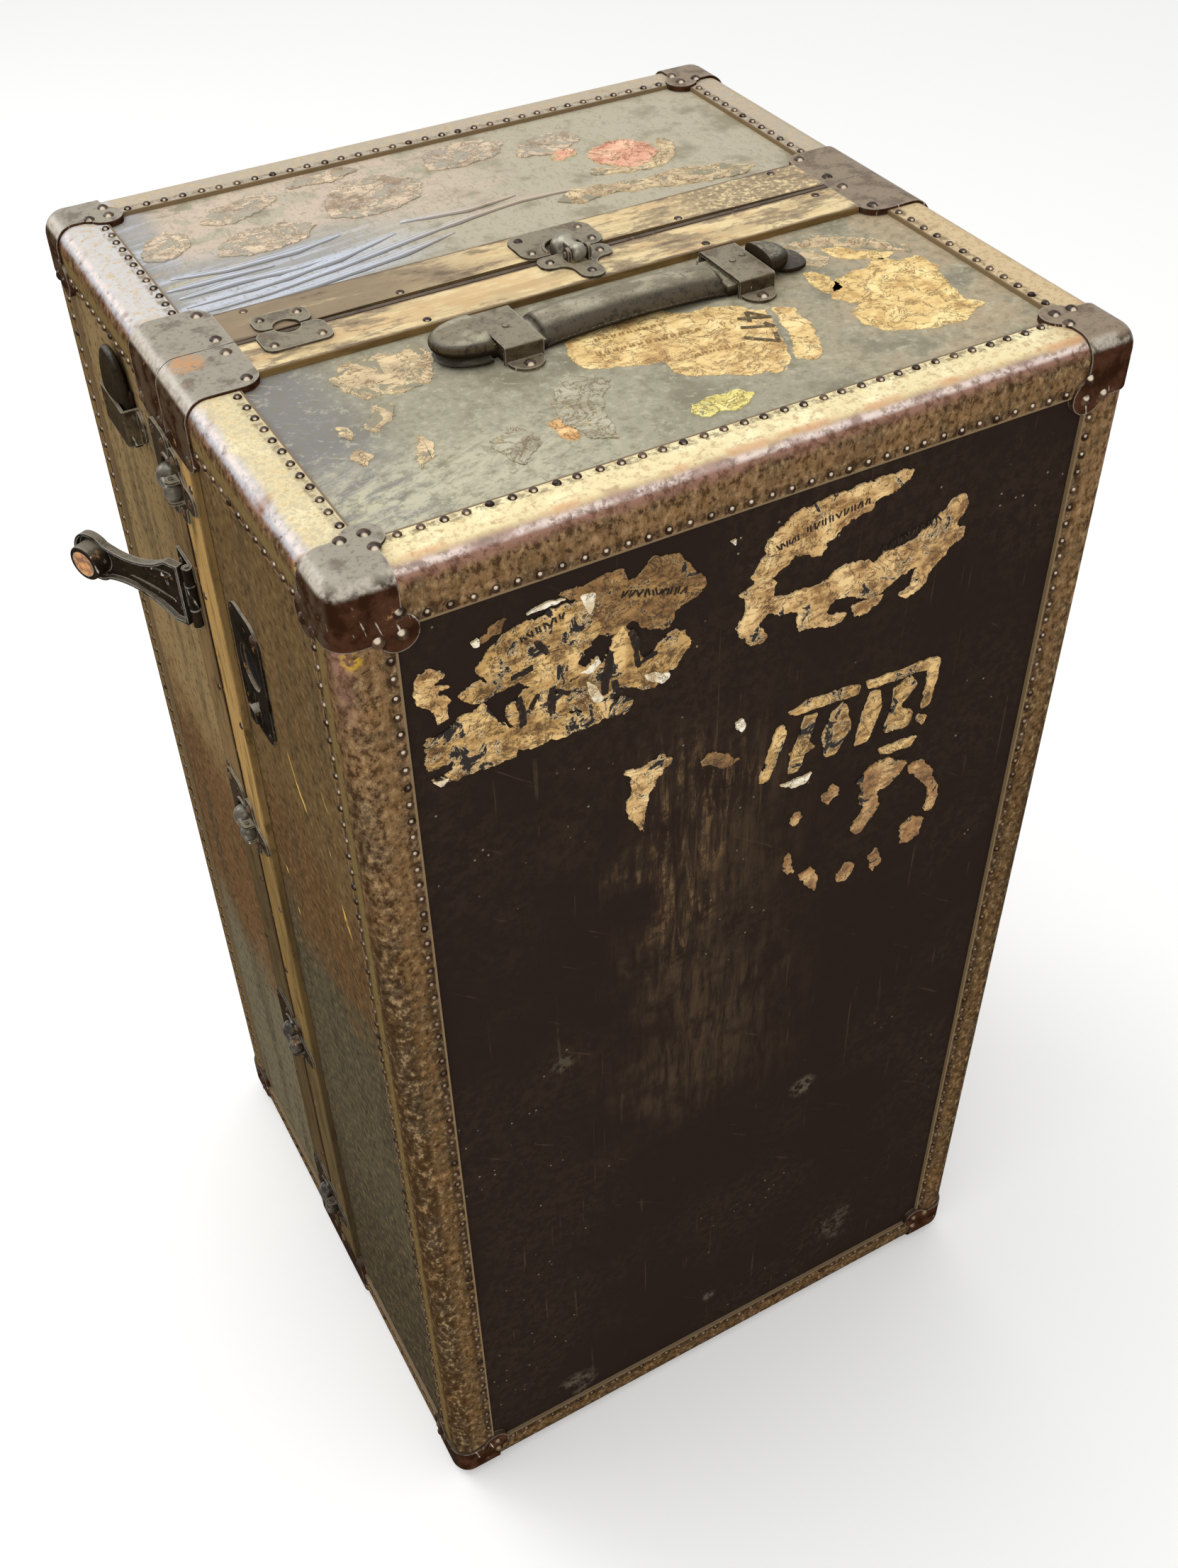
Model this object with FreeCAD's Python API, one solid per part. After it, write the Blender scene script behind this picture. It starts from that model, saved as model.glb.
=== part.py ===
import FreeCAD, Part
import math
import os

from FreeCAD import Vector

# Upright travel trunk, closed, standing on its end. Millimetres, +Z up.
# +X runs along the front face, +Y from the front face towards the back.
# The split between the base (front half) and the lid (back half) is a plane y = split_y.
# The origin lies in the plane that the trunk stands on, under its middle.

# Overall sizes, measured over the metal caps and the slats
trunk_width = 554.0
trunk_depth = 534.0
trunk_height = 1020.0
split_y = 6.0

# Wall layers, from the outside in
cap_rise = 2.0
binding_thickness = 3.0
canvas_thickness = 1.0
panel_thickness = 9.0
lining_thickness = 1.0
edge_round = 16.0

# Edge bindings, metal caps and slats
binding_leg = 36.0
cap_reach = 42.0
cap_lobe_centre = 39.0
cap_lobe_radius = 12.5
cap_hollow_radius = 8.0
end_cap_leg = 54.0
end_cap_length = 54.0
end_cap_round = 14.0
slat_width = 42.0
slat_edge_round = 1.0
split_gap = 0.8
lid_slat_bow = 3.5

# Steel strip that edges the base at the split
edge_strip_width = 4.0
edge_strip_groove = 0.4
edge_strip_round = 0.8

# Tongue that keeps the two halves in line
tongue_thickness = 3.0
tongue_reach = 11.0
tongue_seat_width = 26.0
tongue_end_gap = 18.0
tongue_clearance = 0.6

# Domed screws and rivets
screw_radius = 3.2
screw_height = 1.8
rivet_radius = 4.0
rivet_height = 2.2
cap_rivet_spread = 14.0
cap_rivet_offset = 2.0
end_cap_rivet_inset = 9.0

# Draw bolts: a hinged lever on the base whose nose drops into a notch on the lid
plate_thickness = 2.0
bolt_plate_width = 54.0
bolt_plate_shoulder = 17.0
bolt_plate_length = 42.0
bolt_plate_lobe_radius = 9.0
bolt_plate_corner_radius = 7.0
plate_edge_gap = 1.0
bolt_pin_radius = 1.8
bolt_pin_height = 6.5
bolt_pin_setback = 13.0
bolt_barrel_radius = 6.2
bolt_arm_radius = 4.2
bolt_nose_radius = 9.5
bolt_nose_reach = 6.0
bolt_nose_height = 1.8
bolt_nose_clearance = 0.3
bolt_nose_side_clearance = 1.2
ear_thickness = 2.4
ear_radius = 4.2
ear_clearance = 0.3
pin_fit = 0.02
turning_fit = 0.05
pin_head_length = 1.2
plate_window_clearance = 1.2
catch_width = 62.0
catch_length = 36.0
catch_corner_radius = 10.0
catch_notch_radius = 12.5
catch_bead_radius = 1.5
bolt_screw_inset = 8.0

bolt_plate_waist_radius = 9.0
top_bolt_x = 14.0
upper_bolt_from_top = 82.0
lower_bolt_from_bottom = 112.0
middle_bolt_height_shares = (0.6176, 0.3578)

# Plates left where a sixth draw bolt is missing
bare_plate_from_left = 89.0
bare_base_width = 46.0
bare_base_length = 26.0
bare_lid_width = 38.0
bare_lid_length = 20.0
bare_notch_radius = 9.0
bare_corner_radius = 7.0
bare_lid_screw_inset = 6.4

# Lock on the base's left face
lock_from_top = 182.0
lock_plate_width = 54.0
lock_plate_top = 44.0
lock_plate_bottom = 56.0
lock_plate_round = 16.0
lock_recess_radius = 17.0
lock_slot_width = 7.0
lock_slot_top = -24.0
lock_slot_length = 22.0
lock_pocket_depth = 5.0
lock_case_thickness = 14.0
lock_case_margin = 6.0
lock_slide_travel = 8.0
lock_slide_knob = 11.0
lock_slide_height = 4.5
lock_slide_round = 1.6
lock_slide_clearance = 0.4

# Hasp hinged on the lid beside the split, resting swung open
hasp_axis_setback = 10.0
hasp_knuckle_radius = 3.6
hasp_knuckle_lift = 0.5
hasp_pin_radius = 1.6
hasp_height = 50.0
hasp_leaf_length = 28.0
hasp_knuckle_length = 20.0
hasp_knuckle_gap = 0.4
hasp_length = 93.0
hasp_waist = 26.0
hasp_waist_place_share = 0.52
hasp_shoulder_share = 0.45
hasp_tip_spread = 50.0
hasp_tip_radius = 19.0
hasp_thickness = 2.0
hasp_rim_depth = 4.0
hasp_root_gap = 6.0
hasp_boss_radius = 13.5
hasp_boss_depth = 14.0
hasp_boss_bead = 2.0
hasp_disc_radius = 9.5
hasp_disc_depth = 2.5
hasp_open_angle = 153.0

# Top handle: a stitched leather grip that slides in two loops
handle_x = 11.0
handle_slat_gap = 0.6
handle_loop_spacing = 170.0
loop_width = 27.0
loop_thickness = 2.4
loop_inner_width = 46.0
loop_inner_height = 10.0
loop_lug_radius = 12.0
loop_lug_reach = 13.0
strap_width = 42.0
strap_thickness = 7.5
strap_lift = 0.4
strap_round_share = 0.35
grip_end_gap = 4.5
grip_width = 40.0
grip_thickness = 15.0
grip_arch = 7.0
grip_corner_round = 6.0
bulb_length = 34.0
bulb_width = 44.0
bulb_thickness = 19.0
bulb_round = 8.0
bulb_plan_width_share = 0.3
bulb_plan_length_share = 0.42
left_bulb_gap = 4.0
right_bulb_gap = 3.0
right_bulb_length = 17.0
right_bulb_width = 32.0
right_bulb_thickness = 13.0
right_bulb_round = 5.0
tab_length = 17.0
tab_width = 30.0
tab_thickness = 3.0
tab_round_share = 0.42

# Torn handle on the lid's left face: one loop with the strap's stub in it
side_handle_y = 122.0
side_handle_from_top = 92.0
stub_length = 6.0

# Hinges on the right face
hinge_end_inset = 150.0
hinge_leaf_length = 34.0
hinge_knuckle_radius = 4.0
hinge_knuckle_lift = 0.5
hinge_knuckle_length = 14.0
hinge_knuckle_gap = 0.4
hinge_knuckle_count = 5
hinge_pin_radius = 2.0
hinge_leaf_clearance = 0.5
hinge_screw_inset = 8.5
hinge_screw_end_inset = 12.0

# How far a cutting shape runs past what it cuts, and how near to parallel an edge has to run
overrun = 5.0
alignment_share = 0.9

half_width = trunk_width / 2
half_depth = trunk_depth / 2
canvas_inset = cap_rise + binding_thickness
panel_inset = canvas_inset + canvas_thickness
inner_inset = panel_inset + panel_thickness
lining_inset = inner_inset + lining_thickness
hinge_axis_x = half_width + hinge_knuckle_lift + hinge_knuckle_radius
hinge_inner_reach = hinge_knuckle_radius + hinge_leaf_clearance
hasp_x = -half_width - hasp_knuckle_lift - hasp_knuckle_radius
hasp_y = split_y + hasp_axis_setback
lock_y = hasp_y - hasp_length
lock_z = trunk_height - lock_from_top
side_handle_z = trunk_height - side_handle_from_top
bare_plate_x = bare_plate_from_left - half_width
hinge_z = (hinge_end_inset, trunk_height / 2, trunk_height - hinge_end_inset)
left_bolt_z = [trunk_height - upper_bolt_from_top]
left_bolt_z += [trunk_height * share for share in middle_bolt_height_shares]
left_bolt_z += [lower_bolt_from_bottom]
canvas_x = -half_width + canvas_inset
lock_plate_x = canvas_x - plate_thickness
grip_length = handle_loop_spacing - loop_width - 2 * grip_end_gap

X_AXIS = Vector(1, 0, 0)
Y_AXIS = Vector(0, 1, 0)
Z_AXIS = Vector(0, 0, 1)
CENTRE = Vector(0, 0, 0)

BASE = -1
LID = 1
SIDES = (-1, 1)


def block(x_range, y_range, z_range):
    """A box between three pairs of limits."""
    size = [high - low for low, high in (x_range, y_range, z_range)]
    return Part.makeBox(size[0], size[1], size[2], Vector(x_range[0], y_range[0], z_range[0]))


def cylinder(radius, start, direction, length):
    """A cylinder from a start point along a direction."""
    return Part.makeCylinder(radius, length, start, direction)


def join(shapes):
    """One solid out of several that touch or overlap."""
    joined = shapes[0]
    for shape in shapes[1:]:
        joined = joined.fuse(shape)
    return joined.removeSplitter()


def moved(shape, offset):
    """A copy of a shape, shifted."""
    copy = shape.copy()
    copy.translate(offset)
    return copy


def turned(shape, axis, angle, centre=CENTRE):
    """A copy of a shape, turned about an axis through a centre."""
    copy = shape.copy()
    copy.rotate(centre, axis, angle)
    return copy


def runs_along(edge, direction):
    """Whether an edge starts out along a direction, either way."""
    return abs(edge.tangentAt(edge.FirstParameter).dot(direction)) > alignment_share


def layer(inset):
    """The trunk's outer form, taken in by an inset, with concentric rounded edges."""
    x_limit = half_width - inset
    y_limit = half_depth - inset
    form = block((-x_limit, x_limit), (-y_limit, y_limit), (inset, trunk_height - inset))
    radius = edge_round - inset
    if radius > 0:
        form = form.makeFillet(radius, form.Edges)
    return form


def width_span(side, inset, size):
    """The range of X that starts at an inset from the left or right face."""
    limit = half_width - inset
    return (limit - size, limit) if side > 0 else (-limit, size - limit)


def height_span(side, inset, size):
    """The range of Z that starts at an inset from the bottom or top face."""
    if side > 0:
        return (trunk_height - inset - size, trunk_height - inset)
    return (inset, inset + size)


def depth_span(half, start, end):
    """The range of Y between two distances from the outer face of the base or the lid."""
    if half == BASE:
        return (start - half_depth, end - half_depth)
    return (half_depth - end, half_depth - start)


def depth_to_split(half):
    """The distance from a half's outer face to the split."""
    return half_depth + split_y if half == BASE else half_depth - split_y


def split_edge(half):
    """Where the slats and end caps of a half end at the split: the lid's stand off by a small gap."""
    return split_y if half == BASE else split_y + split_gap


def solid_of(shape):
    """The single solid that a cut or common leaves."""
    return max(shape.Solids, key=lambda solid: solid.Volume)


form_over_caps = layer(0)
form_over_bindings = layer(cap_rise)
form_over_canvas = layer(canvas_inset)
form_over_panels = layer(panel_inset)
cap_shell = form_over_caps.cut(form_over_canvas)
binding_shell = form_over_bindings.cut(form_over_canvas)
canvas_shell = form_over_canvas.cut(form_over_panels)

nodes = {}


def make_panels(half, prefix):
    """Five plywood panels: the broad face, two walls, top and bottom."""
    reach = depth_to_split(half)
    whole_x = (-half_width, half_width)
    whole_z = (0, trunk_height)
    face = depth_span(half, panel_inset, inner_inset)
    walls = depth_span(half, inner_inset, reach)
    inner_width = trunk_width - 2 * inner_inset
    face_name = "front_panel" if half == BASE else "back_panel"
    nodes[prefix + face_name] = [form_over_panels.common(block(whole_x, face, whole_z))]
    for side, name in zip(SIDES, ("left_panel", "right_panel")):
        zone = block(width_span(side, panel_inset, panel_thickness), walls, whole_z)
        nodes[prefix + name] = [form_over_panels.common(zone)]
    for side, name in zip(SIDES, ("bottom_panel", "top_panel")):
        zone = block(
            width_span(1, inner_inset, inner_width), walls, height_span(side, panel_inset, panel_thickness)
        )
        nodes[prefix + name] = [form_over_panels.common(zone)]


def make_skins(half, prefix):
    """The canvas outside and the thin lining inside, each folded round its half."""
    reach = depth_to_split(half)
    zone = block((-half_width, half_width), depth_span(half, 0, reach), (0, trunk_height))
    nodes[prefix + "canvas"] = [canvas_shell.common(zone)]
    inner_width = trunk_width - 2 * inner_inset
    lined_width = trunk_width - 2 * lining_inset
    inner_height = trunk_height - 2 * inner_inset
    lined_height = trunk_height - 2 * lining_inset
    outside = block(
        width_span(1, inner_inset, inner_width),
        depth_span(half, inner_inset, reach),
        height_span(1, inner_inset, inner_height),
    )
    hollow = block(
        width_span(1, lining_inset, lined_width),
        depth_span(half, lining_inset, reach + overrun),
        height_span(1, lining_inset, lined_height),
    )
    nodes[prefix + "lining"] = [outside.cut(hollow)]


def make_bindings(half, prefix):
    """L-shaped edge bindings, cut to the caps: four round the broad face and four along the depth."""
    leg = binding_leg + cap_rise
    edge_y = depth_span(half, 0, leg)
    end_cap_start = abs(split_edge(half) - half * half_depth) - end_cap_length
    run_y = depth_span(half, cap_reach, end_cap_start)
    run_x = width_span(1, cap_reach, trunk_width - 2 * cap_reach)
    run_z = height_span(1, cap_reach, trunk_height - 2 * cap_reach)
    face_zones = [block(run_x, edge_y, height_span(side, 0, leg)) for side in SIDES]
    face_zones += [block(width_span(side, 0, leg), edge_y, run_z) for side in SIDES]
    depth_zones = [
        block(width_span(side_x, 0, leg), run_y, height_span(side_z, 0, leg))
        for side_x in SIDES
        for side_z in SIDES
    ]
    for name, zones in (("face_bindings", face_zones), ("depth_bindings", depth_zones)):
        strips = [binding_shell.common(zone) for zone in zones]
        for cap in nodes[prefix + "corner_caps"]:
            strips = [strip.cut(cap) for strip in strips]
        nodes[prefix + name] = [solid_of(strip) for strip in strips]


def outline_prism(x_size, y_size, round_radius, length):
    """A prism on a rectangle from the origin, with its far corner rounded."""
    start = Vector(x_size, y_size - round_radius, 0)
    end = Vector(x_size - round_radius, y_size, 0)
    lean = round_radius * (1 - math.cos(math.radians(45)))
    middle = Vector(x_size - lean, y_size - lean, 0)
    edges = [
        Part.LineSegment(CENTRE, Vector(x_size, 0, 0)).toShape(),
        Part.LineSegment(Vector(x_size, 0, 0), start).toShape(),
        Part.Arc(start, middle, end).toShape(),
        Part.LineSegment(end, Vector(0, y_size, 0)).toShape(),
        Part.LineSegment(Vector(0, y_size, 0), CENTRE).toShape(),
    ]
    face = Part.Face(Part.Wire(edges))
    return face.extrude(Vector(0, 0, length))


def mirrored_to(shape, side_x, side_y, side_z):
    """Mirror a corner piece from the low corner to any other corner of a block at the origin."""
    result = shape
    for side, normal in ((side_x, X_AXIS), (side_y, Y_AXIS), (side_z, Z_AXIS)):
        if side > 0:
            result = result.mirror(CENTRE, normal)
    return result


def corner_origin(side_x, y_place, side_z):
    """The trunk's outer corner on one side, at a given Y."""
    return Vector(side_x * half_width, y_place, trunk_height if side_z > 0 else 0)


def around(centre, radius, angle):
    """A point on a circle in the XY plane."""
    return centre + Vector(radius * math.cos(angle), radius * math.sin(angle), 0)


def lobe_prism():
    """A cap's lobe on one face: a disc near the inner corner, with a hollow on each side of it."""
    disc_centre = Vector(cap_lobe_centre, cap_lobe_centre, 0)
    hollow_x = cap_reach + cap_hollow_radius
    rise = math.sqrt((cap_lobe_radius + cap_hollow_radius) ** 2 - (hollow_x - cap_lobe_centre) ** 2)
    hollow_centre = Vector(hollow_x, cap_lobe_centre - rise, 0)
    towards = disc_centre - hollow_centre
    end_angle = math.atan2(towards.y, towards.x)
    start = Vector(cap_reach, hollow_centre.y, 0)
    middle = around(hollow_centre, cap_hollow_radius, (math.pi + end_angle) / 2)
    end = around(hollow_centre, cap_hollow_radius, end_angle)
    tip = around(disc_centre, cap_lobe_radius, math.pi / 4)
    swapped = [Vector(point.y, point.x, 0) for point in (end, middle, start)]
    edges = [
        Part.LineSegment(CENTRE, start).toShape(),
        Part.Arc(start, middle, end).toShape(),
        Part.Arc(end, tip, swapped[0]).toShape(),
        Part.Arc(swapped[0], swapped[1], swapped[2]).toShape(),
        Part.LineSegment(swapped[2], CENTRE).toShape(),
    ]
    return Part.Face(Part.Wire(edges)).extrude(Vector(0, 0, canvas_inset))


def corner_zone():
    """A block at an outer corner with a lobe on each of its three faces."""
    reach = (0, cap_reach)
    lobe = lobe_prism()
    third_turns = [turned(lobe, X_AXIS + Y_AXIS + Z_AXIS, angle) for angle in (0, 120, 240)]
    return join([block(reach, reach, reach)] + third_turns)


def end_zone():
    """Two rounded outlines crossed, for a cap that ends a depth edge at the split."""
    flat = outline_prism(end_cap_leg, end_cap_length, end_cap_round, end_cap_leg)
    side = flat.copy().mirror(CENTRE, X_AXIS - Z_AXIS)
    return flat.common(side)


def make_caps(half, prefix):
    """Pressed caps on the outer corners and on the four edges at the split."""
    outer_y = half * half_depth
    corner_caps = []
    end_caps = []
    for side_x in SIDES:
        for side_z in SIDES:
            zone = mirrored_to(corner_zone(), side_x, half, side_z)
            zone = moved(zone, corner_origin(side_x, outer_y, side_z))
            corner_caps.append(solid_of(cap_shell.common(zone)))
            zone = mirrored_to(end_zone(), side_x, -half, side_z)
            zone = moved(zone, corner_origin(side_x, split_edge(half), side_z))
            end_caps.append(solid_of(cap_shell.common(zone)))
    nodes[prefix + "corner_caps"] = corner_caps
    nodes[prefix + "end_caps"] = end_caps


def eased_slat(slat, radius):
    """Round the two long edges on a slat's outer face."""
    middle = slat.CenterOfMass - Vector(0, split_y, trunk_height / 2)
    upright = abs(middle.x) > half_width / 2
    along = Z_AXIS if upright else X_AXIS
    outward = X_AXIS * math.copysign(1, middle.x) if upright else Z_AXIS * math.copysign(1, middle.z)
    edges = [
        edge
        for edge in slat.Edges
        if runs_along(edge, along) and (edge.CenterOfMass - slat.CenterOfMass).dot(outward) > 0
    ]
    return slat.makeFillet(radius, edges)


def make_slats(half, prefix):
    """Four flat slats beside the split, between the end caps."""
    outer = split_y + half * slat_width
    inner = split_edge(half) if half == LID else split_y - edge_strip_width - edge_strip_groove
    slats = [eased_slat(slat, slat_edge_round) for slat in slat_blocks(sorted((inner, outer)))]
    if half == LID:
        length = trunk_width - 2 * end_cap_leg
        bow_radius = (length * length / 4 + lid_slat_bow * lid_slat_bow) / (2 * lid_slat_bow)
        centre = Vector(0, inner + lid_slat_bow - bow_radius, trunk_height - canvas_inset - overrun)
        bow = cylinder(bow_radius, centre, Z_AXIS, canvas_inset + 2 * overrun)
        slats[1] = solid_of(slats[1].cut(bow))
    nodes[prefix + "slats"] = slats


def slat_blocks(y_range):
    """Four square-edged slats over a range of Y, between the end caps: bottom, top, left and right."""
    run_x = width_span(1, end_cap_leg, trunk_width - 2 * end_cap_leg)
    run_z = height_span(1, end_cap_leg, trunk_height - 2 * end_cap_leg)
    slats = [block(run_x, y_range, height_span(side, 0, canvas_inset)) for side in SIDES]
    return slats + [block(width_span(side, 0, canvas_inset), y_range, run_z) for side in SIDES]


def make_edge_strips():
    """The steel strips that edge the base at the split, beside its slats."""
    strips = slat_blocks((split_y - edge_strip_width, split_y))
    nodes["base_edge_strips"] = [eased_slat(strip, edge_strip_round) for strip in strips]


def dome(radius, height):
    """A domed head that stands on the XY plane."""
    sphere_radius = (radius * radius + height * height) / (2 * height)
    ball = Part.makeSphere(sphere_radius, Vector(0, 0, height - sphere_radius))
    keep = block((-radius * 2, radius * 2), (-radius * 2, radius * 2), (0, sphere_radius * 2))
    return ball.common(keep)


screw = dome(screw_radius, screw_height)
rivet = dome(rivet_radius, rivet_height)


def on_top(shape, x, y, z=trunk_height):
    """Seat a piece made on the XY plane on an upward face."""
    return moved(shape, Vector(x, y, z))


def on_left(shape, y, z, x=-half_width):
    """Seat a piece made on the XY plane on the left face, its X turned up."""
    return moved(turned(shape, Y_AXIS, -90), Vector(x, y, z))


def on_right(shape, y, z, x=half_width):
    """Seat a piece made on the XY plane on the right face."""
    return moved(turned(shape, Y_AXIS, 90), Vector(x, y, z))


def on_broad_face(shape, half, x, z):
    """Seat a piece made on the XY plane on the front or the back face."""
    return moved(turned(shape, X_AXIS, -90 * half), Vector(x, half * half_depth, z))


def make_rivets(half, prefix):
    """Rivets of the corner caps and end caps, with none on the faces that the trunk stands on."""
    far = cap_lobe_centre + cap_rivet_offset
    near = far - cap_rivet_spread
    outer = half * half_depth
    rivets = []
    for side_z in SIDES:
        for side_x in SIDES:
            for first, second in ((near, far), (far, near), (far, far)):
                z = trunk_height - second if side_z > 0 else second
                rivets.append(on_broad_face(rivet, half, side_x * (half_width - first), z))
                y = outer - half * first
                seat = on_left if side_x < 0 else on_right
                rivets.append(seat(rivet, y, z))
                if side_z > 0:
                    rivets.append(on_top(rivet, side_x * (half_width - first), outer - half * second))
            for reach in (end_cap_rivet_inset, end_cap_length - end_cap_rivet_inset):
                y = split_edge(half) + half * reach
                z = end_cap_leg - end_cap_rivet_inset
                z = trunk_height - z if side_z > 0 else z
                seat = on_left if side_x < 0 else on_right
                rivets.append(seat(rivet, y, z))
                if side_z > 0:
                    x = side_x * (half_width - end_cap_leg + end_cap_rivet_inset)
                    rivets.append(on_top(rivet, x, y))
    nodes[prefix + "cap_rivets"] = rivets


def make_tongues():
    """Three stepped strips inside the base that reach into the lid."""
    seat_y = (split_y - tongue_seat_width, split_y)
    lip_y = (split_y - tongue_seat_width, split_y + tongue_reach)
    tongues = []
    run_x = width_span(1, lining_inset + tongue_end_gap, trunk_width - 2 * (lining_inset + tongue_end_gap))
    run_z = height_span(1, lining_inset + tongue_end_gap, trunk_height - 2 * (lining_inset + tongue_end_gap))
    lip_inset = lining_inset + tongue_clearance
    for side in SIDES:
        seat = block(run_x, seat_y, height_span(side, lining_inset, tongue_thickness + tongue_clearance))
        lip = block(run_x, lip_y, height_span(side, lip_inset, tongue_thickness))
        tongues.append(join([seat, lip]))
    seat = block(width_span(-1, lining_inset, tongue_thickness + tongue_clearance), seat_y, run_z)
    lip = block(width_span(-1, lip_inset, tongue_thickness), lip_y, run_z)
    tongues.append(join([seat, lip]))
    nodes["base_tongues"] = tongues


def rounded_plate(x_range, y_range, thickness, radius):
    """A flat plate on the XY plane with its four corners rounded."""
    plate = block(x_range, y_range, (0, thickness))
    upright = [edge for edge in plate.Edges if runs_along(edge, Z_AXIS)]
    return plate.makeFillet(radius, upright)


def pierce(shape, radius, start, direction, length):
    """Cut a round hole."""
    return shape.cut(cylinder(radius, start, direction, length))


def bolt_plate():
    """The draw bolt's plate on the base: two shoulders at the split and one lobe away from it."""
    half_plate = bolt_plate_width / 2
    shoulder = rounded_plate(
        (-half_plate, half_plate),
        (-bolt_plate_shoulder - plate_edge_gap, -plate_edge_gap),
        plate_thickness,
        bolt_plate_corner_radius,
    )
    lobe_y = -bolt_plate_length + bolt_plate_lobe_radius
    lobe = cylinder(bolt_plate_lobe_radius, Vector(0, lobe_y, 0), Z_AXIS, plate_thickness)
    shoulder_y = -bolt_plate_shoulder
    waist_x = bolt_plate_lobe_radius + bolt_plate_waist_radius
    waist_y = shoulder_y - plate_edge_gap - bolt_plate_waist_radius
    neck = block((-waist_x, waist_x), (waist_y, shoulder_y), (0, plate_thickness))
    stem_x = (-bolt_plate_lobe_radius, bolt_plate_lobe_radius)
    stem = block(stem_x, (lobe_y, shoulder_y), (0, plate_thickness))
    for side in SIDES:
        hollow_start = Vector(side * waist_x, waist_y, 0)
        neck = pierce(neck, bolt_plate_waist_radius, hollow_start, Z_AXIS, plate_thickness)
    plate = join([shoulder, lobe, neck, stem])
    window_x = bolt_barrel_radius + plate_window_clearance
    window_y = (-bolt_pin_setback - window_x, -bolt_pin_setback + window_x)
    plate = plate.cut(block((-window_x, window_x), window_y, (-overrun, plate_thickness + overrun)))
    ears = []
    for side in SIDES:
        near = side * (bolt_barrel_radius + ear_clearance)
        ear_start = Vector(near, -bolt_pin_setback, bolt_pin_height)
        ear = cylinder(ear_radius, ear_start, X_AXIS * side, ear_thickness)
        far = near + side * ear_thickness
        foot_x = (min(near, far), max(near, far))
        foot_y = (-bolt_pin_setback - ear_radius, -bolt_pin_setback + ear_radius)
        foot = block(foot_x, foot_y, (0, bolt_pin_height))
        ears.append(join([ear, foot]))
    plate = join([plate] + ears)
    nose_room = bolt_nose_radius + bolt_nose_side_clearance
    nose_start = Vector(0, bolt_nose_reach, -overrun)
    plate = pierce(plate, nose_room, nose_start, Z_AXIS, plate_thickness + overrun)
    hole_start = Vector(-bolt_plate_width, -bolt_pin_setback, bolt_pin_height)
    return pierce(plate, bolt_pin_radius + pin_fit, hole_start, X_AXIS, bolt_plate_width * 2)


def bolt_pin():
    """The pin that the lever turns on."""
    reach = bolt_barrel_radius + ear_clearance + ear_thickness + pin_head_length
    return cylinder(bolt_pin_radius, Vector(-reach, -bolt_pin_setback, bolt_pin_height), X_AXIS, 2 * reach)


def bolt_lever():
    """The lever: a small dome round the pin, an arm and a large domed nose."""
    pivot = Vector(0, -bolt_pin_setback, bolt_pin_height)
    barrel = Part.makeSphere(bolt_barrel_radius, pivot)
    arm_length = bolt_pin_setback + bolt_nose_reach
    arm = cylinder(bolt_arm_radius, pivot, Y_AXIS, arm_length)
    nose = Part.makeSphere(bolt_nose_radius, Vector(0, bolt_nose_reach, bolt_nose_height))
    wide = bolt_pin_setback + bolt_nose_reach + bolt_nose_radius + overrun
    above = block((-wide, wide), (-wide, wide), (bolt_nose_clearance, wide))
    lever = solid_of(join([barrel, arm, nose]).common(above))
    hole_start = Vector(-wide, -bolt_pin_setback, bolt_pin_height)
    return pierce(lever, bolt_pin_radius + turning_fit, hole_start, X_AXIS, wide * 2)


def catch_plate():
    """The lid's plate with a notch, open to the split, that the nose drops into."""
    half_catch = catch_width / 2
    outline = rounded_plate(
        (-half_catch, half_catch),
        (plate_edge_gap, plate_edge_gap + catch_length),
        plate_thickness,
        catch_corner_radius,
    )
    bead_start = Vector(0, bolt_nose_reach, plate_thickness)
    bead = Part.makeTorus(catch_notch_radius + catch_bead_radius, catch_bead_radius, bead_start, Z_AXIS)
    wide = catch_width
    keep = block((-wide, wide), (plate_edge_gap + catch_bead_radius, wide), (0, wide))
    bead = bead.common(keep)
    plate = join([outline, bead])
    notch = cylinder(catch_notch_radius, Vector(0, bolt_nose_reach, -overrun), Z_AXIS, wide)
    slot_x = (-catch_notch_radius, catch_notch_radius)
    slot = block(slot_x, (-overrun, bolt_nose_reach), (-overrun, wide))
    return solid_of(plate.cut(notch).cut(slot))


def bolt_screws():
    """Places of the screws on one draw bolt, for the base and for the lid."""
    shoulder_x = bolt_plate_width / 2 - bolt_screw_inset
    shoulder_y = -plate_edge_gap - bolt_plate_shoulder / 2
    lobe_y = -bolt_plate_length + bolt_plate_lobe_radius
    base_places = [(-shoulder_x, shoulder_y), (shoulder_x, shoulder_y), (0, lobe_y)]
    catch_x = catch_width / 2 - bolt_screw_inset
    catch_y = plate_edge_gap + catch_length - bolt_screw_inset
    near_y = plate_edge_gap + bolt_screw_inset
    lid_places = [(-catch_x, catch_y), (catch_x, catch_y), (-catch_x, near_y), (catch_x, near_y)]
    return base_places, lid_places


base_screws = []
lid_screws = []


def add_screws(places, target, seat, along):
    """Seat domed screws on a plate that lies on the top or on the left face."""
    for x, y in places:
        head = moved(screw, Vector(x, y, plate_thickness))
        target.append(seat(head, along))


def seat_on_top(shape, along):
    """Move a piece made at the split's line to the top face."""
    return on_top(shape, along, split_y)


def seat_on_left(shape, along):
    """Move a piece made at the split's line to the left face."""
    return on_left(shape, split_y, along)


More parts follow.
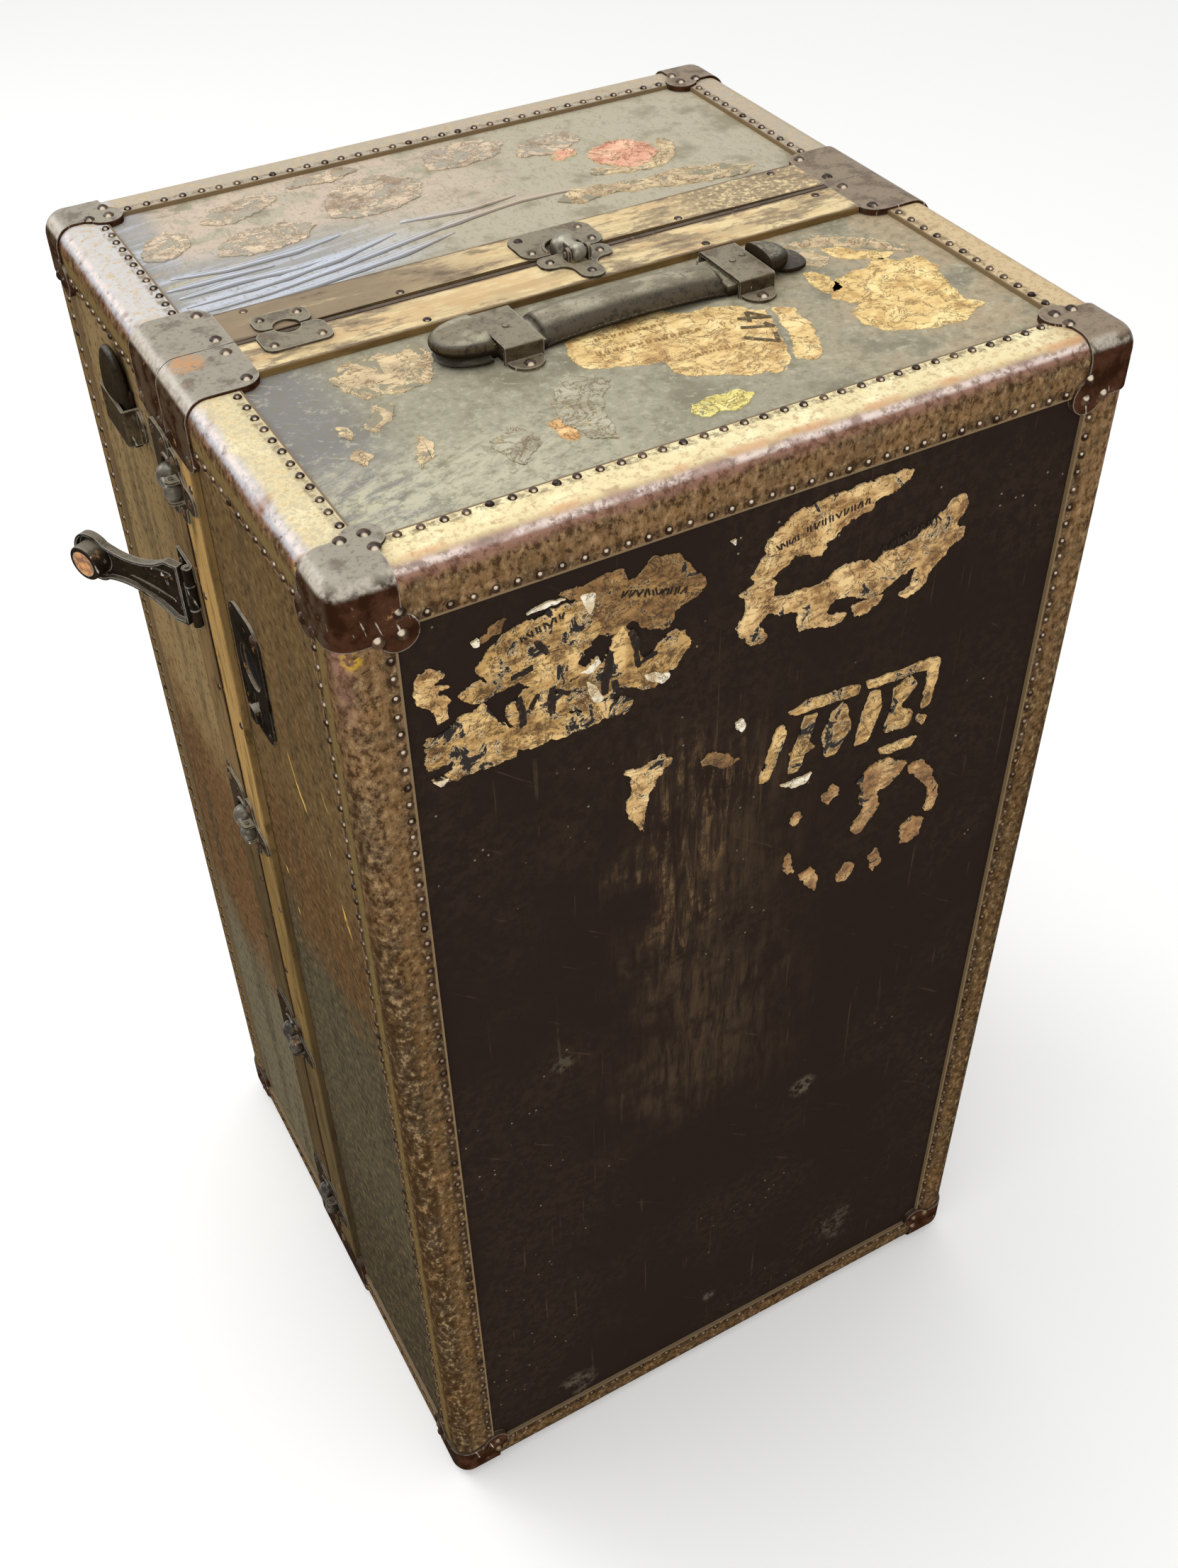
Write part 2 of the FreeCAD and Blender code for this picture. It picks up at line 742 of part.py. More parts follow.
def make_draw_bolts():
    """Five draw bolts: one on the top and four on the left face."""
    base_places, lid_places = bolt_screws()
    sites = [(seat_on_top, top_bolt_x)] + [(seat_on_left, z) for z in left_bolt_z]
    plates = []
    pins = []
    catches = []
    for number, (seat, along) in enumerate(sites, 1):
        plates.append(seat(bolt_plate(), along))
        pins.append(seat(bolt_pin(), along))
        catches.append(seat(catch_plate(), along))
        nodes["draw_bolt_lever_%d" % number] = [seat(bolt_lever(), along)]
        add_screws(base_places, base_screws, seat, along)
        add_screws(lid_places, lid_screws, seat, along)
    nodes["draw_bolt_plates"] = plates
    nodes["draw_bolt_pins"] = pins
    nodes["draw_bolt_catches"] = catches


def bare_plate(width, length, half):
    """A notched plate left behind by a missing draw bolt."""
    y_range = sorted((half * plate_edge_gap, half * (plate_edge_gap + length)))
    plate = rounded_plate((-width / 2, width / 2), y_range, plate_thickness, bare_corner_radius)
    notch = cylinder(bare_notch_radius, Vector(0, 0, -overrun), Z_AXIS, plate_thickness + 2 * overrun)
    return plate.cut(notch)


def make_bare_plates():
    """Two plates on the top where a draw bolt is missing."""
    base_plate = bare_plate(bare_base_width, bare_base_length, BASE)
    lid_plate = bare_plate(bare_lid_width, bare_lid_length, LID)
    nodes["base_bare_plate"] = [seat_on_top(base_plate, bare_plate_x)]
    nodes["lid_bare_plate"] = [seat_on_top(lid_plate, bare_plate_x)]
    base_x = bare_base_width / 2 - bare_corner_radius
    base_y = -plate_edge_gap - bare_base_length + bare_corner_radius
    lid_x = bare_lid_width / 2 - bare_lid_screw_inset
    lid_y = plate_edge_gap + bare_lid_length - bare_lid_screw_inset
    add_screws([(-base_x, base_y), (base_x, base_y)], base_screws, seat_on_top, bare_plate_x)
    add_screws([(-lid_x, lid_y), (lid_x, lid_y)], lid_screws, seat_on_top, bare_plate_x)


def make_lock():
    """The lock: plate, recess and slot through the wall, case inside and a small slide."""
    half_plate = lock_plate_width / 2
    plate = rounded_plate(
        (-lock_plate_bottom, lock_plate_top), (-half_plate, half_plate), plate_thickness, lock_plate_round
    )
    plate = on_left(plate, lock_y, lock_z, canvas_x)
    recess = cylinder(
        lock_recess_radius,
        Vector(lock_plate_x - overrun, lock_y, lock_z),
        X_AXIS,
        overrun + plate_thickness + canvas_thickness + panel_thickness,
    )
    slot_z = (lock_z + lock_slot_top - lock_slot_length, lock_z + lock_slot_top)
    slot = block(
        (lock_plate_x - overrun, canvas_x + lock_pocket_depth),
        (lock_y - lock_slot_width / 2, lock_y + lock_slot_width / 2),
        slot_z,
    )
    for cut in (recess, slot):
        plate = plate.cut(cut)
        for name in ("base_canvas", "base_left_panel"):
            nodes[name] = [solid_of(nodes[name][0].cut(cut))]
    nodes["lock_plate"] = [plate]
    case_x = -half_width + lining_inset
    case_margin = lock_case_margin
    nodes["lock_case"] = [
        block(
            (case_x, case_x + lock_case_thickness),
            (lock_y - half_plate + case_margin, lock_y + half_plate - case_margin),
            (lock_z - lock_plate_bottom + case_margin, lock_z + lock_plate_top - case_margin),
        )
    ]
    knob_y = (-lock_slide_knob / 2, lock_slide_knob / 2)
    knob = rounded_plate((0, lock_slide_knob), knob_y, lock_slide_height, lock_slide_round)
    stem_width = lock_slot_width - 2 * lock_slide_clearance
    stem_length = lock_slot_length - lock_slide_travel - 2 * lock_slide_clearance
    stem_depth = plate_thickness + lock_pocket_depth - lock_slide_clearance
    stem = block((0, stem_length), (-stem_width / 2, stem_width / 2), (-stem_depth, 0))
    knob = moved(knob, Vector((stem_length - lock_slide_knob) / 2, 0, 0))
    slide = join([knob, stem])
    nodes["lock_slide"] = [on_left(slide, lock_y, slot_z[0] + lock_slide_clearance, lock_plate_x)]
    screw_z = (lock_z - lock_plate_bottom + bolt_screw_inset, lock_z + lock_plate_top - bolt_screw_inset)
    for z in screw_z:
        for side in SIDES:
            y = lock_y + side * (half_plate - bolt_screw_inset)
            base_screws.append(on_left(screw, y, z, lock_plate_x))


def knuckle(radius, length, low_z):
    """One barrel of a hinge about the Z axis."""
    return cylinder(radius, Vector(0, 0, low_z), Z_AXIS, length)


def hasp_outline(grow):
    """The hasp's waisted outline in closed position, in the YZ plane: root wide, waist narrow, round tip."""
    root_y = -hasp_root_gap + min(grow, 0)
    half_root = hasp_height / 2 + grow
    half_waist = hasp_waist / 2 + grow
    tip_radius = hasp_tip_radius + grow
    waist_y = -hasp_length * hasp_waist_place_share
    shoulder_y = -hasp_root_gap - hasp_leaf_length * hasp_shoulder_share
    join_y = -hasp_length + tip_radius * math.cos(math.radians(hasp_tip_spread))
    join_z = tip_radius * math.sin(math.radians(hasp_tip_spread))
    upper = [
        Vector(0, root_y, half_root),
        Vector(0, shoulder_y, half_root),
        Vector(0, waist_y, half_waist),
        Vector(0, join_y, join_z),
    ]
    lower = [Vector(0, point.y, -point.z) for point in upper]
    tip = Vector(0, -hasp_length - tip_radius, 0)
    edges = [
        Part.LineSegment(upper[0], upper[1]).toShape(),
        Part.Arc(upper[1], upper[2], upper[3]).toShape(),
        Part.Arc(upper[3], tip, lower[3]).toShape(),
        Part.Arc(lower[3], lower[2], lower[1]).toShape(),
        Part.LineSegment(lower[1], lower[0]).toShape(),
        Part.LineSegment(lower[0], upper[0]).toShape(),
    ]
    return Part.Face(Part.Wire(edges))


def make_hasp():
    """The hasp's leaf and pin on the lid, and the swinging arm with its boss."""
    outer_knuckle = (hasp_height - hasp_knuckle_length) / 2 - hasp_knuckle_gap
    leaf_parts = []
    seat_x = hasp_knuckle_radius + hasp_knuckle_lift
    leaf_x = (seat_x - plate_thickness, seat_x)
    leaf_start = hasp_knuckle_radius + hinge_leaf_clearance
    leaf_parts.append(block(leaf_x, (leaf_start, hasp_leaf_length), (-hasp_height / 2, hasp_height / 2)))
    for low in (-hasp_height / 2, hasp_height / 2 - outer_knuckle):
        leaf_parts.append(knuckle(hasp_knuckle_radius, outer_knuckle, low))
        leaf_parts.append(block(leaf_x, (0, leaf_start), (low, low + outer_knuckle)))
    leaf = join(leaf_parts)
    leaf = pierce(leaf, hasp_pin_radius + pin_fit, Vector(0, 0, -hasp_height), Z_AXIS, 2 * hasp_height)
    place = Vector(hasp_x, hasp_y, lock_z)
    nodes["hasp_leaf"] = [moved(leaf, place)]
    pin_length = hasp_height + 2 * pin_head_length
    nodes["hasp_pin"] = [moved(knuckle(hasp_pin_radius, pin_length, -pin_length / 2), place)]

    plate = hasp_outline(0)
    skin = moved(plate, Vector(-hasp_thickness, 0, 0)).extrude(Vector(hasp_thickness, 0, 0))
    rim = plate.extrude(Vector(hasp_rim_depth, 0, 0))
    rim = rim.cut(hasp_outline(-hasp_thickness).extrude(Vector(hasp_rim_depth, 0, 0)))
    middle = knuckle(hasp_knuckle_radius, hasp_knuckle_length, -hasp_knuckle_length / 2)
    root_x = (-hasp_thickness, 0)
    root_z = (-hasp_knuckle_length / 2, hasp_knuckle_length / 2)
    root = block(root_x, (-hasp_root_gap - hasp_thickness, 0), root_z)
    boss_centre = Vector(0, -hasp_length, 0)
    boss = cylinder(hasp_boss_radius, boss_centre, X_AXIS, hasp_boss_depth)
    boss_rim = [edge for edge in boss.Edges if edge.CenterOfMass.x > hasp_boss_depth - hasp_boss_bead]
    boss = boss.makeFillet(hasp_boss_bead, boss_rim)
    arm = join([skin, rim, middle, root, boss])
    disc_start = Vector(hasp_boss_depth - hasp_disc_depth, -hasp_length, 0)
    arm = pierce(arm, hasp_disc_radius, disc_start, X_AXIS, overrun)
    arm = pierce(arm, hasp_pin_radius + turning_fit, Vector(0, 0, -hasp_height), Z_AXIS, 2 * hasp_height)
    disc = cylinder(hasp_disc_radius - pin_fit, disc_start, X_AXIS, hasp_disc_depth)
    for name, shape in (("hasp_arm", arm), ("hasp_disc", disc)):
        nodes[name] = [moved(turned(shape, Z_AXIS, -hasp_open_angle), place)]
    for side in SIDES:
        y = hasp_y + hasp_leaf_length - bolt_screw_inset
        z = lock_z + side * (hasp_height / 2 - bolt_screw_inset)
        lid_screws.append(on_left(screw, y, z, -half_width - plate_thickness))


def handle_loop():
    """A strap loop: a box bracket across the handle with a round lug at each foot."""
    half_inner = loop_inner_width / 2
    half_outer = half_inner + loop_thickness
    top = loop_inner_height + loop_thickness
    half_loop = loop_width / 2
    bracket = block((-half_loop, half_loop), (-half_outer, half_outer), (0, top))
    top_edges = [edge for edge in bracket.Edges if edge.BoundBox.ZMin > loop_inner_height]
    long_edges = [edge for edge in top_edges if runs_along(edge, X_AXIS)]
    bracket = bracket.makeFillet(loop_thickness, long_edges)
    passage = block((-loop_width, loop_width), (-half_inner, half_inner), (-overrun, loop_inner_height))
    parts = [bracket.cut(passage)]
    rivets = []
    for side in SIDES:
        lug_y = side * (half_outer + loop_lug_reach - loop_lug_radius)
        lug = cylinder(loop_lug_radius, Vector(0, lug_y, 0), Z_AXIS, loop_thickness)
        foot_y = sorted((side * half_inner, lug_y))
        foot = block((-loop_lug_radius, loop_lug_radius), foot_y, (0, loop_thickness))
        keep_y = sorted((side * half_inner, side * (half_outer + loop_lug_reach)))
        keep = block((-loop_width, loop_width), keep_y, (0, loop_thickness))
        parts.append(lug.common(keep))
        parts.append(foot)
        rivets.append(moved(rivet, Vector(0, side * (half_outer + loop_lug_reach / 2), loop_thickness)))
    return join(parts), rivets


def strap(start_x, end_x):
    """A flat length of leather strap, resting just above the canvas."""
    z_range = (strap_lift, strap_lift + strap_thickness)
    body = block((start_x, end_x), (-strap_width / 2, strap_width / 2), z_range)
    long_edges = [edge for edge in body.Edges if runs_along(edge, X_AXIS)]
    return body.makeFillet(strap_thickness * strap_round_share, long_edges)


def bulb(start_x, length, width, thickness, radius):
    """A padded handle end with a round plan and rounded edges."""
    body = block((start_x, start_x + length), (-width / 2, width / 2), (strap_lift, strap_lift + thickness))
    upright = [edge for edge in body.Edges if runs_along(edge, Z_AXIS)]
    plan_round = min(width * bulb_plan_width_share, length * bulb_plan_length_share)
    body = body.makeFillet(plan_round, upright)
    upper = [edge for edge in body.Edges if edge.BoundBox.ZMin > strap_lift + thickness / 2]
    return body.makeFillet(radius, upper)


def grip():
    """The grip between the loops: arched along its length, with a rounded top."""
    half_grip = grip_length / 2
    low = strap_lift
    rise = grip_arch

    def arc(height):
        return Part.Arc(
            Vector(-half_grip, 0, height), Vector(0, 0, height + rise), Vector(half_grip, 0, height)
        ).toShape()

    bottom = arc(low)
    top = arc(low + grip_thickness)
    left = Part.LineSegment(Vector(-half_grip, 0, low), Vector(-half_grip, 0, low + grip_thickness)).toShape()
    right = Part.LineSegment(Vector(half_grip, 0, low), Vector(half_grip, 0, low + grip_thickness)).toShape()
    face = Part.Face(Part.Wire([bottom, right, top, left]))
    body = face.extrude(Vector(0, grip_width, 0))
    body.translate(Vector(0, -grip_width / 2, 0))
    upper = [edge for edge in body.Edges if edge.BoundBox.ZMin > low + grip_thickness / 2]
    long_edges = [edge for edge in upper if edge.BoundBox.XLength > half_grip]
    return body.makeFillet(grip_corner_round, long_edges)


def make_handles():
    """The top handle in its two loops, and the torn handle's loop and stub on the lid."""
    canvas_z = trunk_height - canvas_inset
    loop_reach = loop_inner_width / 2 + loop_thickness + loop_lug_reach
    handle_y = split_y - slat_width - handle_slat_gap - loop_reach
    loop, loop_rivets = handle_loop()
    handle_rivets = []
    for side, name in zip(SIDES, ("left", "right")):
        offset = Vector(handle_x + side * handle_loop_spacing / 2, handle_y, canvas_z)
        nodes[name + "_handle_loop"] = [moved(loop, offset)]
        handle_rivets += [moved(head, offset) for head in loop_rivets]
    nodes["handle_loop_rivets"] = handle_rivets
    loop_edge = handle_loop_spacing / 2 + loop_width / 2
    left_end = -loop_edge - left_bulb_gap
    right_end = loop_edge + right_bulb_gap
    tab_start = right_end + right_bulb_length
    tab_z = (strap_lift, strap_lift + tab_thickness)
    tab_x = (tab_start - right_bulb_round, tab_start + tab_length)
    tab = block(tab_x, (-tab_width / 2, tab_width / 2), tab_z)
    tab_edges = [
        edge
        for edge in tab.Edges
        if runs_along(edge, Z_AXIS) and edge.CenterOfMass.x > tab_start
    ]
    tab = tab.makeFillet(tab_width * tab_round_share, tab_edges)
    handle = join(
        [
            strap(left_end - bulb_length / 2, right_end + right_bulb_length / 2),
            bulb(left_end - bulb_length, bulb_length, bulb_width, bulb_thickness, bulb_round),
            bulb(right_end, right_bulb_length, right_bulb_width, right_bulb_thickness, right_bulb_round),
            tab,
        ]
    )
    gap_length = grip_length - 2 * grip_corner_round
    gap_z = (0, strap_lift + grip_arch)
    under_grip = block((-gap_length / 2, gap_length / 2), (-strap_width, strap_width), gap_z)
    strap_z = (0, strap_lift + strap_thickness + overrun)
    strap_zone = block((-grip_length / 2, grip_length / 2), (-strap_width, strap_width), strap_z)
    arched = grip()
    handle = join(handle.cut(strap_zone).Solids + [arched])
    handle = handle.cut(under_grip.cut(arched))
    nodes["top_handle"] = [moved(handle, Vector(handle_x, handle_y, canvas_z))]

    stub_low = -loop_width / 2 - stub_length
    stub_high = loop_width / 2 + left_bulb_gap
    stub = join(
        [
            strap(stub_low, stub_high + bulb_length / 2),
            bulb(stub_high, bulb_length, bulb_width, right_bulb_thickness, right_bulb_round),
        ]
    )
    side_place = (side_handle_y, side_handle_z, canvas_x)
    nodes["side_handle_loop"] = [on_left(loop, *side_place)]
    nodes["side_handle_stub"] = [on_left(stub, *side_place)]
    nodes["side_handle_rivets"] = [on_left(head, *side_place) for head in loop_rivets]


def hinge_leaf(half):
    """One leaf of a butt hinge on the right face, with its share of the knuckles."""
    pitch = hinge_knuckle_length + hinge_knuckle_gap
    height = hinge_knuckle_count * pitch - hinge_knuckle_gap
    seat_x = -hinge_knuckle_lift - hinge_knuckle_radius
    leaf_x = (seat_x, seat_x + plate_thickness)
    leaf_y = sorted((half * hinge_inner_reach, half * (hinge_inner_reach + hinge_leaf_length)))
    parts = [block(leaf_x, leaf_y, (-height / 2, height / 2))]
    for index in range(hinge_knuckle_count):
        mine = (index % 2 == 0) == (half == BASE)
        if not mine:
            continue
        low = -height / 2 + index * pitch
        barrel = knuckle(hinge_knuckle_radius, hinge_knuckle_length, low)
        web_y = sorted((0, half * hinge_inner_reach))
        web = block(leaf_x, web_y, (low, low + hinge_knuckle_length))
        parts.append(barrel)
        parts.append(web)
    fit = pin_fit if half == BASE else turning_fit
    leaf = pierce(join(parts), hinge_pin_radius + fit, Vector(0, 0, -height), Z_AXIS, 2 * height)
    return leaf, height


def make_hinges():
    """Three butt hinges on the right face, where the lid swings."""
    axis = Vector(hinge_axis_x, split_y, 0)
    leaves = {BASE: [], LID: []}
    pins = []
    for z in hinge_z:
        place = axis + Vector(0, 0, z)
        for half, target in ((BASE, base_screws), (LID, lid_screws)):
            leaf, height = hinge_leaf(half)
            leaves[half].append(moved(leaf, place))
            for side in SIDES:
                y = split_y + half * (hinge_inner_reach + hinge_leaf_length - hinge_screw_inset)
                screw_z = z + side * (height / 2 - hinge_screw_end_inset)
                target.append(on_right(screw, y, screw_z, half_width + plate_thickness))
        pin_length = height + 2 * pin_head_length
        pins.append(moved(knuckle(hinge_pin_radius, pin_length, -pin_length / 2), place))
    nodes["base_hinge_leaves"] = leaves[BASE]
    nodes["lid_hinge_leaves"] = leaves[LID]
    nodes["hinge_pins"] = pins


for half, prefix in ((BASE, "base_"), (LID, "lid_")):
    make_panels(half, prefix)
    make_skins(half, prefix)
    make_caps(half, prefix)
    make_bindings(half, prefix)
    make_slats(half, prefix)
    make_rivets(half, prefix)
make_edge_strips()
make_tongues()
make_draw_bolts()
make_bare_plates()
make_lock()
make_hasp()
make_handles()
make_hinges()
nodes["base_hardware_screws"] = base_screws
nodes["lid_hardware_screws"] = lid_screws

os.makedirs("parts", exist_ok=True)
for name, shapes in nodes.items():
    solids = [solid for shape in shapes for solid in shape.Solids]
    shape = solids[0] if len(solids) == 1 else Part.makeCompound(solids)
    shape.exportStep("parts/%s.step" % name)
    print(name, len(solids), all(solid.isValid() for solid in solids), round(sum(s.Volume for s in solids)))
print(len(nodes), "nodes")
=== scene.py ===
import logging
import math
import random
from dataclasses import dataclass, field
from enum import Enum
from itertools import permutations, product
from typing import Iterable

import bmesh
import bpy
from mathutils import Matrix, Vector, noise


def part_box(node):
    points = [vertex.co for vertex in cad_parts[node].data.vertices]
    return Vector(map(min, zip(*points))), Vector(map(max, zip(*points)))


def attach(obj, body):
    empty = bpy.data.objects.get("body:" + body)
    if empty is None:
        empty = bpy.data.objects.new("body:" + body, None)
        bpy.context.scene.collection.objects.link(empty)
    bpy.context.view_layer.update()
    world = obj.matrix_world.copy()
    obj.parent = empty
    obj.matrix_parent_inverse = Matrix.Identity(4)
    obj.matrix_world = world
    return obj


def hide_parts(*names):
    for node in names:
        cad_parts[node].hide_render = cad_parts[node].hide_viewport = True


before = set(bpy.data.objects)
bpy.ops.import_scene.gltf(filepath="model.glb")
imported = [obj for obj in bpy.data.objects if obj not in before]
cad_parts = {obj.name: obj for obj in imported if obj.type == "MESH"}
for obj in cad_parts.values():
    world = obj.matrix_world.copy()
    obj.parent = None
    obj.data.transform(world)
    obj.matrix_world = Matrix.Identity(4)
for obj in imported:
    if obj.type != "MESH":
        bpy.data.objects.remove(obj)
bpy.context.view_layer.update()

log = logging.getLogger("trunk")

MM = 0.001
NOISE_SEED = 5
# The radius of the painted shade round the lock's recess.
LOCK_RECESS_SHADE_RADIUS = 90 * MM

Tone = tuple[float, float, float, float]
Socket = bpy.types.NodeSocket
Value = float | Socket
Colour = Value | Tone
Mask = Value | tuple[Value, float, float]
Range = tuple[float, float]
Outline = tuple[Range, ...]
Spot = tuple[float, float, float]


def tone(red: int, green: int, blue: int) -> Tone:
    """Give a colour in the linear values that shaders take.

    Args:
        red: red as it is seen, from 0 to 255.
        green: green as it is seen, from 0 to 255.
        blue: blue as it is seen, from 0 to 255.

    Returns:
        The linear colour, with a full alpha.
    """
    shares = [value / 255 for value in (red, green, blue)]
    linear = [share / 12.92 if share <= 0.04045 else ((share + 0.055) / 1.055) ** 2.4 for share in shares]
    return (linear[0], linear[1], linear[2], 1.0)


class Face(Enum):
    """The faces of the trunk that carry scraps of paper."""

    BASE_TOP = "base"
    LID_TOP = "lid"
    FRONT = "base_front"


@dataclass(frozen=True)
class Planes:
    """The planes of the trunk's faces, read from the frame, in metres."""

    half_width: float
    half_depth: float
    height: float
    split: float
    binding: Vector
    canvas_low: Vector
    canvas_high: Vector

    @classmethod
    def measured(cls) -> "Planes":
        """Read the planes from the boxes of the CAD nodes."""
        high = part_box("lid_corner_caps")[1]
        canvas_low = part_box("base_canvas")[0]
        canvas_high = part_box("lid_canvas")[1]
        return cls(high.x, high.y, high.z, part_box("base_edge_strips")[1].y,
                   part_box("lid_face_bindings")[1], canvas_low, canvas_high)

    @property
    def centre(self) -> Vector:
        """The middle of the trunk's body."""
        return Vector((0, 0, self.height / 2))

    @property
    def half(self) -> Vector:
        """Half of the size over the caps, along each axis."""
        return Vector((self.half_width, self.half_depth, self.height / 2))

    @property
    def cap_rise(self) -> float:
        """How far the caps stand proud of the bindings."""
        return self.height - self.binding.z

    def on_face(self, face: Face) -> Matrix:
        """Give the matrix that lays a flat piece, drawn in X and Y, on the canvas of a face.

        Args:
            face: the face that the piece lies on.

        Returns:
            The matrix from the piece's drawing plane to its place, with Z pointing away from the canvas.
        """
        if face is Face.FRONT:
            turn = Matrix(((1, 0, 0, 0), (0, 0, -1, 0), (0, 1, 0, 0), (0, 0, 0, 1)))
            return Matrix.Translation((0, self.canvas_low.y, 0)) @ turn
        return Matrix.Translation((0, 0, self.canvas_high.z))


class ShaderGraph:
    """The nodes of one material, added from the object's coordinates towards the shader."""

    SPOT_CORE = 0.4
    CONVEX_SAMPLES = 4
    CONVEX_COSINES = (0.985, 0.90)

    def __init__(self, name: str, roughness: float = 0.6, metallic: float = 0.0, specular: float = 0.5,
                 side_specular: float | None = None) -> None:
        """Start a material.

        Args:
            name: the material's name.
            roughness: its roughness, until one is linked.
            metallic: how much of it is bare metal.
            specular: the strength of its highlights.
            side_specular: the strength of its highlights on upright faces, where it differs.
        """
        self.material = bpy.data.materials.new(name)
        self.material.use_nodes = True
        self.nodes = self.material.node_tree.nodes
        self.links = self.material.node_tree.links
        self.nodes.clear()
        self.shader = self.add("BsdfPrincipled", {"Roughness": roughness, "Metallic": metallic,
                                                  "Specular IOR Level": specular})
        self.add("OutputMaterial", {"Surface": self.shader.outputs["BSDF"]})
        coordinates = self.add("TexCoord")
        self.place = coordinates.outputs["Object"]
        self.x, self.y, self.z = self.separate(self.place)
        self.normal_x, self.normal_y, self.normal_z = self.separate(coordinates.outputs["Normal"])
        self.up = self.step(self.normal_z, 0.45, 0.92)
        self.normal: Socket | None = None
        if side_specular is not None:
            shine = self.scaled(self.up, specular - side_specular, side_specular)
            self.put(self.shader.inputs["Specular IOR Level"], shine)

    def add(self, kind: str, inputs: dict[str | int, Colour] | None = None,
            **settings: str | int) -> bpy.types.Node:
        """Add a node.

        Args:
            kind: its kind, without the words that all kinds start with.
            inputs: what is linked to its inputs or set on them, by their names or numbers.
            settings: its other settings.

        Returns:
            The node.
        """
        node = self.nodes.new("ShaderNode" + kind)
        for name, value in settings.items():
            setattr(node, name, value)
        for socket, value in (inputs or {}).items():
            self.put(node.inputs[socket], value)
        return node

    def separate(self, vector: Socket) -> list[Socket]:
        """Give the three parts of a vector."""
        return list(self.add("SeparateXYZ", {0: vector}).outputs)

    def attribute(self, name: str) -> Socket:
        """Give the value of one of the mesh's own attributes."""
        return self.add("Attribute", attribute_name=name).outputs["Fac"]

    def spot(self, place: Spot, radius: float) -> Socket:
        """Give a mask that is 1 around a place and fades to 0 at a radius from it."""
        node = self.add("VectorMath", {0: self.place, 1: place}, operation="DISTANCE")
        return self.step(node.outputs["Value"], radius, radius * self.SPOT_CORE)

    def put(self, socket: Socket, value: Colour) -> None:
        """Link a socket to a value, or set it where the value is a plain one."""
        if isinstance(value, bpy.types.NodeSocket):
            self.links.new(value, socket)
        else:
            socket.default_value = value

    def math(self, operation: str, first: Value, second: Value = 0.0, third: Value = 0.0) -> Socket:
        """Add a Math node and give its output."""
        return self.add("Math", {0: first, 1: second, 2: third}, operation=operation).outputs[0]

    def scaled(self, value: Value, factor: Value, offset: Value) -> Socket:
        """Give a value times a factor, plus an offset."""
        return self.math("MULTIPLY_ADD", value, factor, offset)

    def both(self, *masks: Mask) -> Value:
        """Multiply masks: sockets, plain shares, or a value with the two ends of its step."""
        first, *rest = [self.step(*mask) if isinstance(mask, tuple) else mask for mask in masks]
        for mask in rest:
            first = self.math("MULTIPLY", first, mask)
        return first

    def either(self, first: Value, second: Value) -> Socket:
        """Join two masks."""
        return self.math("MAXIMUM", first, second)

    def other(self, mask: Value) -> Socket:
        """Turn a mask round."""
        return self.math("SUBTRACT", 1.0, mask)

    def step(self, value: Value, low: float, high: float) -> Socket:
        """Give a mask that rises smoothly from 0 at low to 1 at high."""
        inputs = {0: value, 1: low, 2: high, 3: 0.0, 4: 1.0}
        return self.add("MapRange", inputs, interpolation_type="SMOOTHSTEP").outputs[0]

    def band(self, value: Value, low: float, high: float, soft: float) -> Value:
        """Give a mask that is 1 between low and high, with soft edges of a given width."""
        rise = self.step(value, low - soft / 2, low + soft / 2)
        fall = self.step(value, high + soft / 2, high - soft / 2)
        return self.both(rise, fall)

    def noise(self, scale: float, detail: float = 3.0, roughness: float = 0.55, shift: float = 0.0,
              stretch: Spot = (1, 1, 1), warp: float = 0.0, turn: Spot = (0, 0, 0)) -> Socket:
        """Add cloudy noise.

        Args:
            scale: the number of features in a metre.
            detail: the number of finer layers.
            roughness: the weight of the finer layers.
            shift: how far the pattern is moved, so that two noises differ.
            stretch: how dense it is along each axis, less than 1 where it runs long.
            warp: how much it is twisted.
            turn: how far it is turned about each axis, in radians.

        Returns:
            The noise, from 0 to 1, mostly near a half.
        """
        place = self.place
        if any(turn):
            place = self.add("Mapping", {"Vector": place, "Rotation": turn}).outputs[0]
        moved = self.add("Mapping", {"Vector": place, "Location": (shift, shift, shift), "Scale": stretch})
        return self.add("TexNoise", {"Vector": moved.outputs[0], "Scale": scale, "Detail": detail,
                                     "Roughness": roughness, "Distortion": warp}).outputs[0]

    def specks(self, scale: float, shift: float = 0.0) -> Socket:
        """Add a cell pattern and give the distance from the middle of each cell."""
        moved = self.add("Mapping", {"Vector": self.place, "Location": (shift, shift, shift)})
        return self.add("TexVoronoi", {"Vector": moved.outputs[0], "Scale": scale}).outputs["Distance"]

    def mix(self, mask: Value, first: Colour, second: Colour) -> Socket:
        """Mix two colours: the first where the mask is 0, the second where it is 1."""
        return self.add("Mix", {0: mask, 6: first, 7: second}, data_type="RGBA").outputs[2]

    def coat(self, colour: Colour, over: Colour, *masks: Mask) -> Socket:
        """Lay a tone over a colour where all its masks hold.

        Args:
            colour: the colour below.
            over: the tone that is laid over it.
            masks: where it is laid, as in both.

        Returns:
            The new colour.
        """
        return self.mix(self.both(*masks), colour, over)

    def coats(self, colour: Colour, layers: Iterable[tuple]) -> Colour:
        """Lay several coats, each a tone with its masks, one over the other."""
        for layer in layers:
            colour = self.coat(colour, *layer)
        return colour

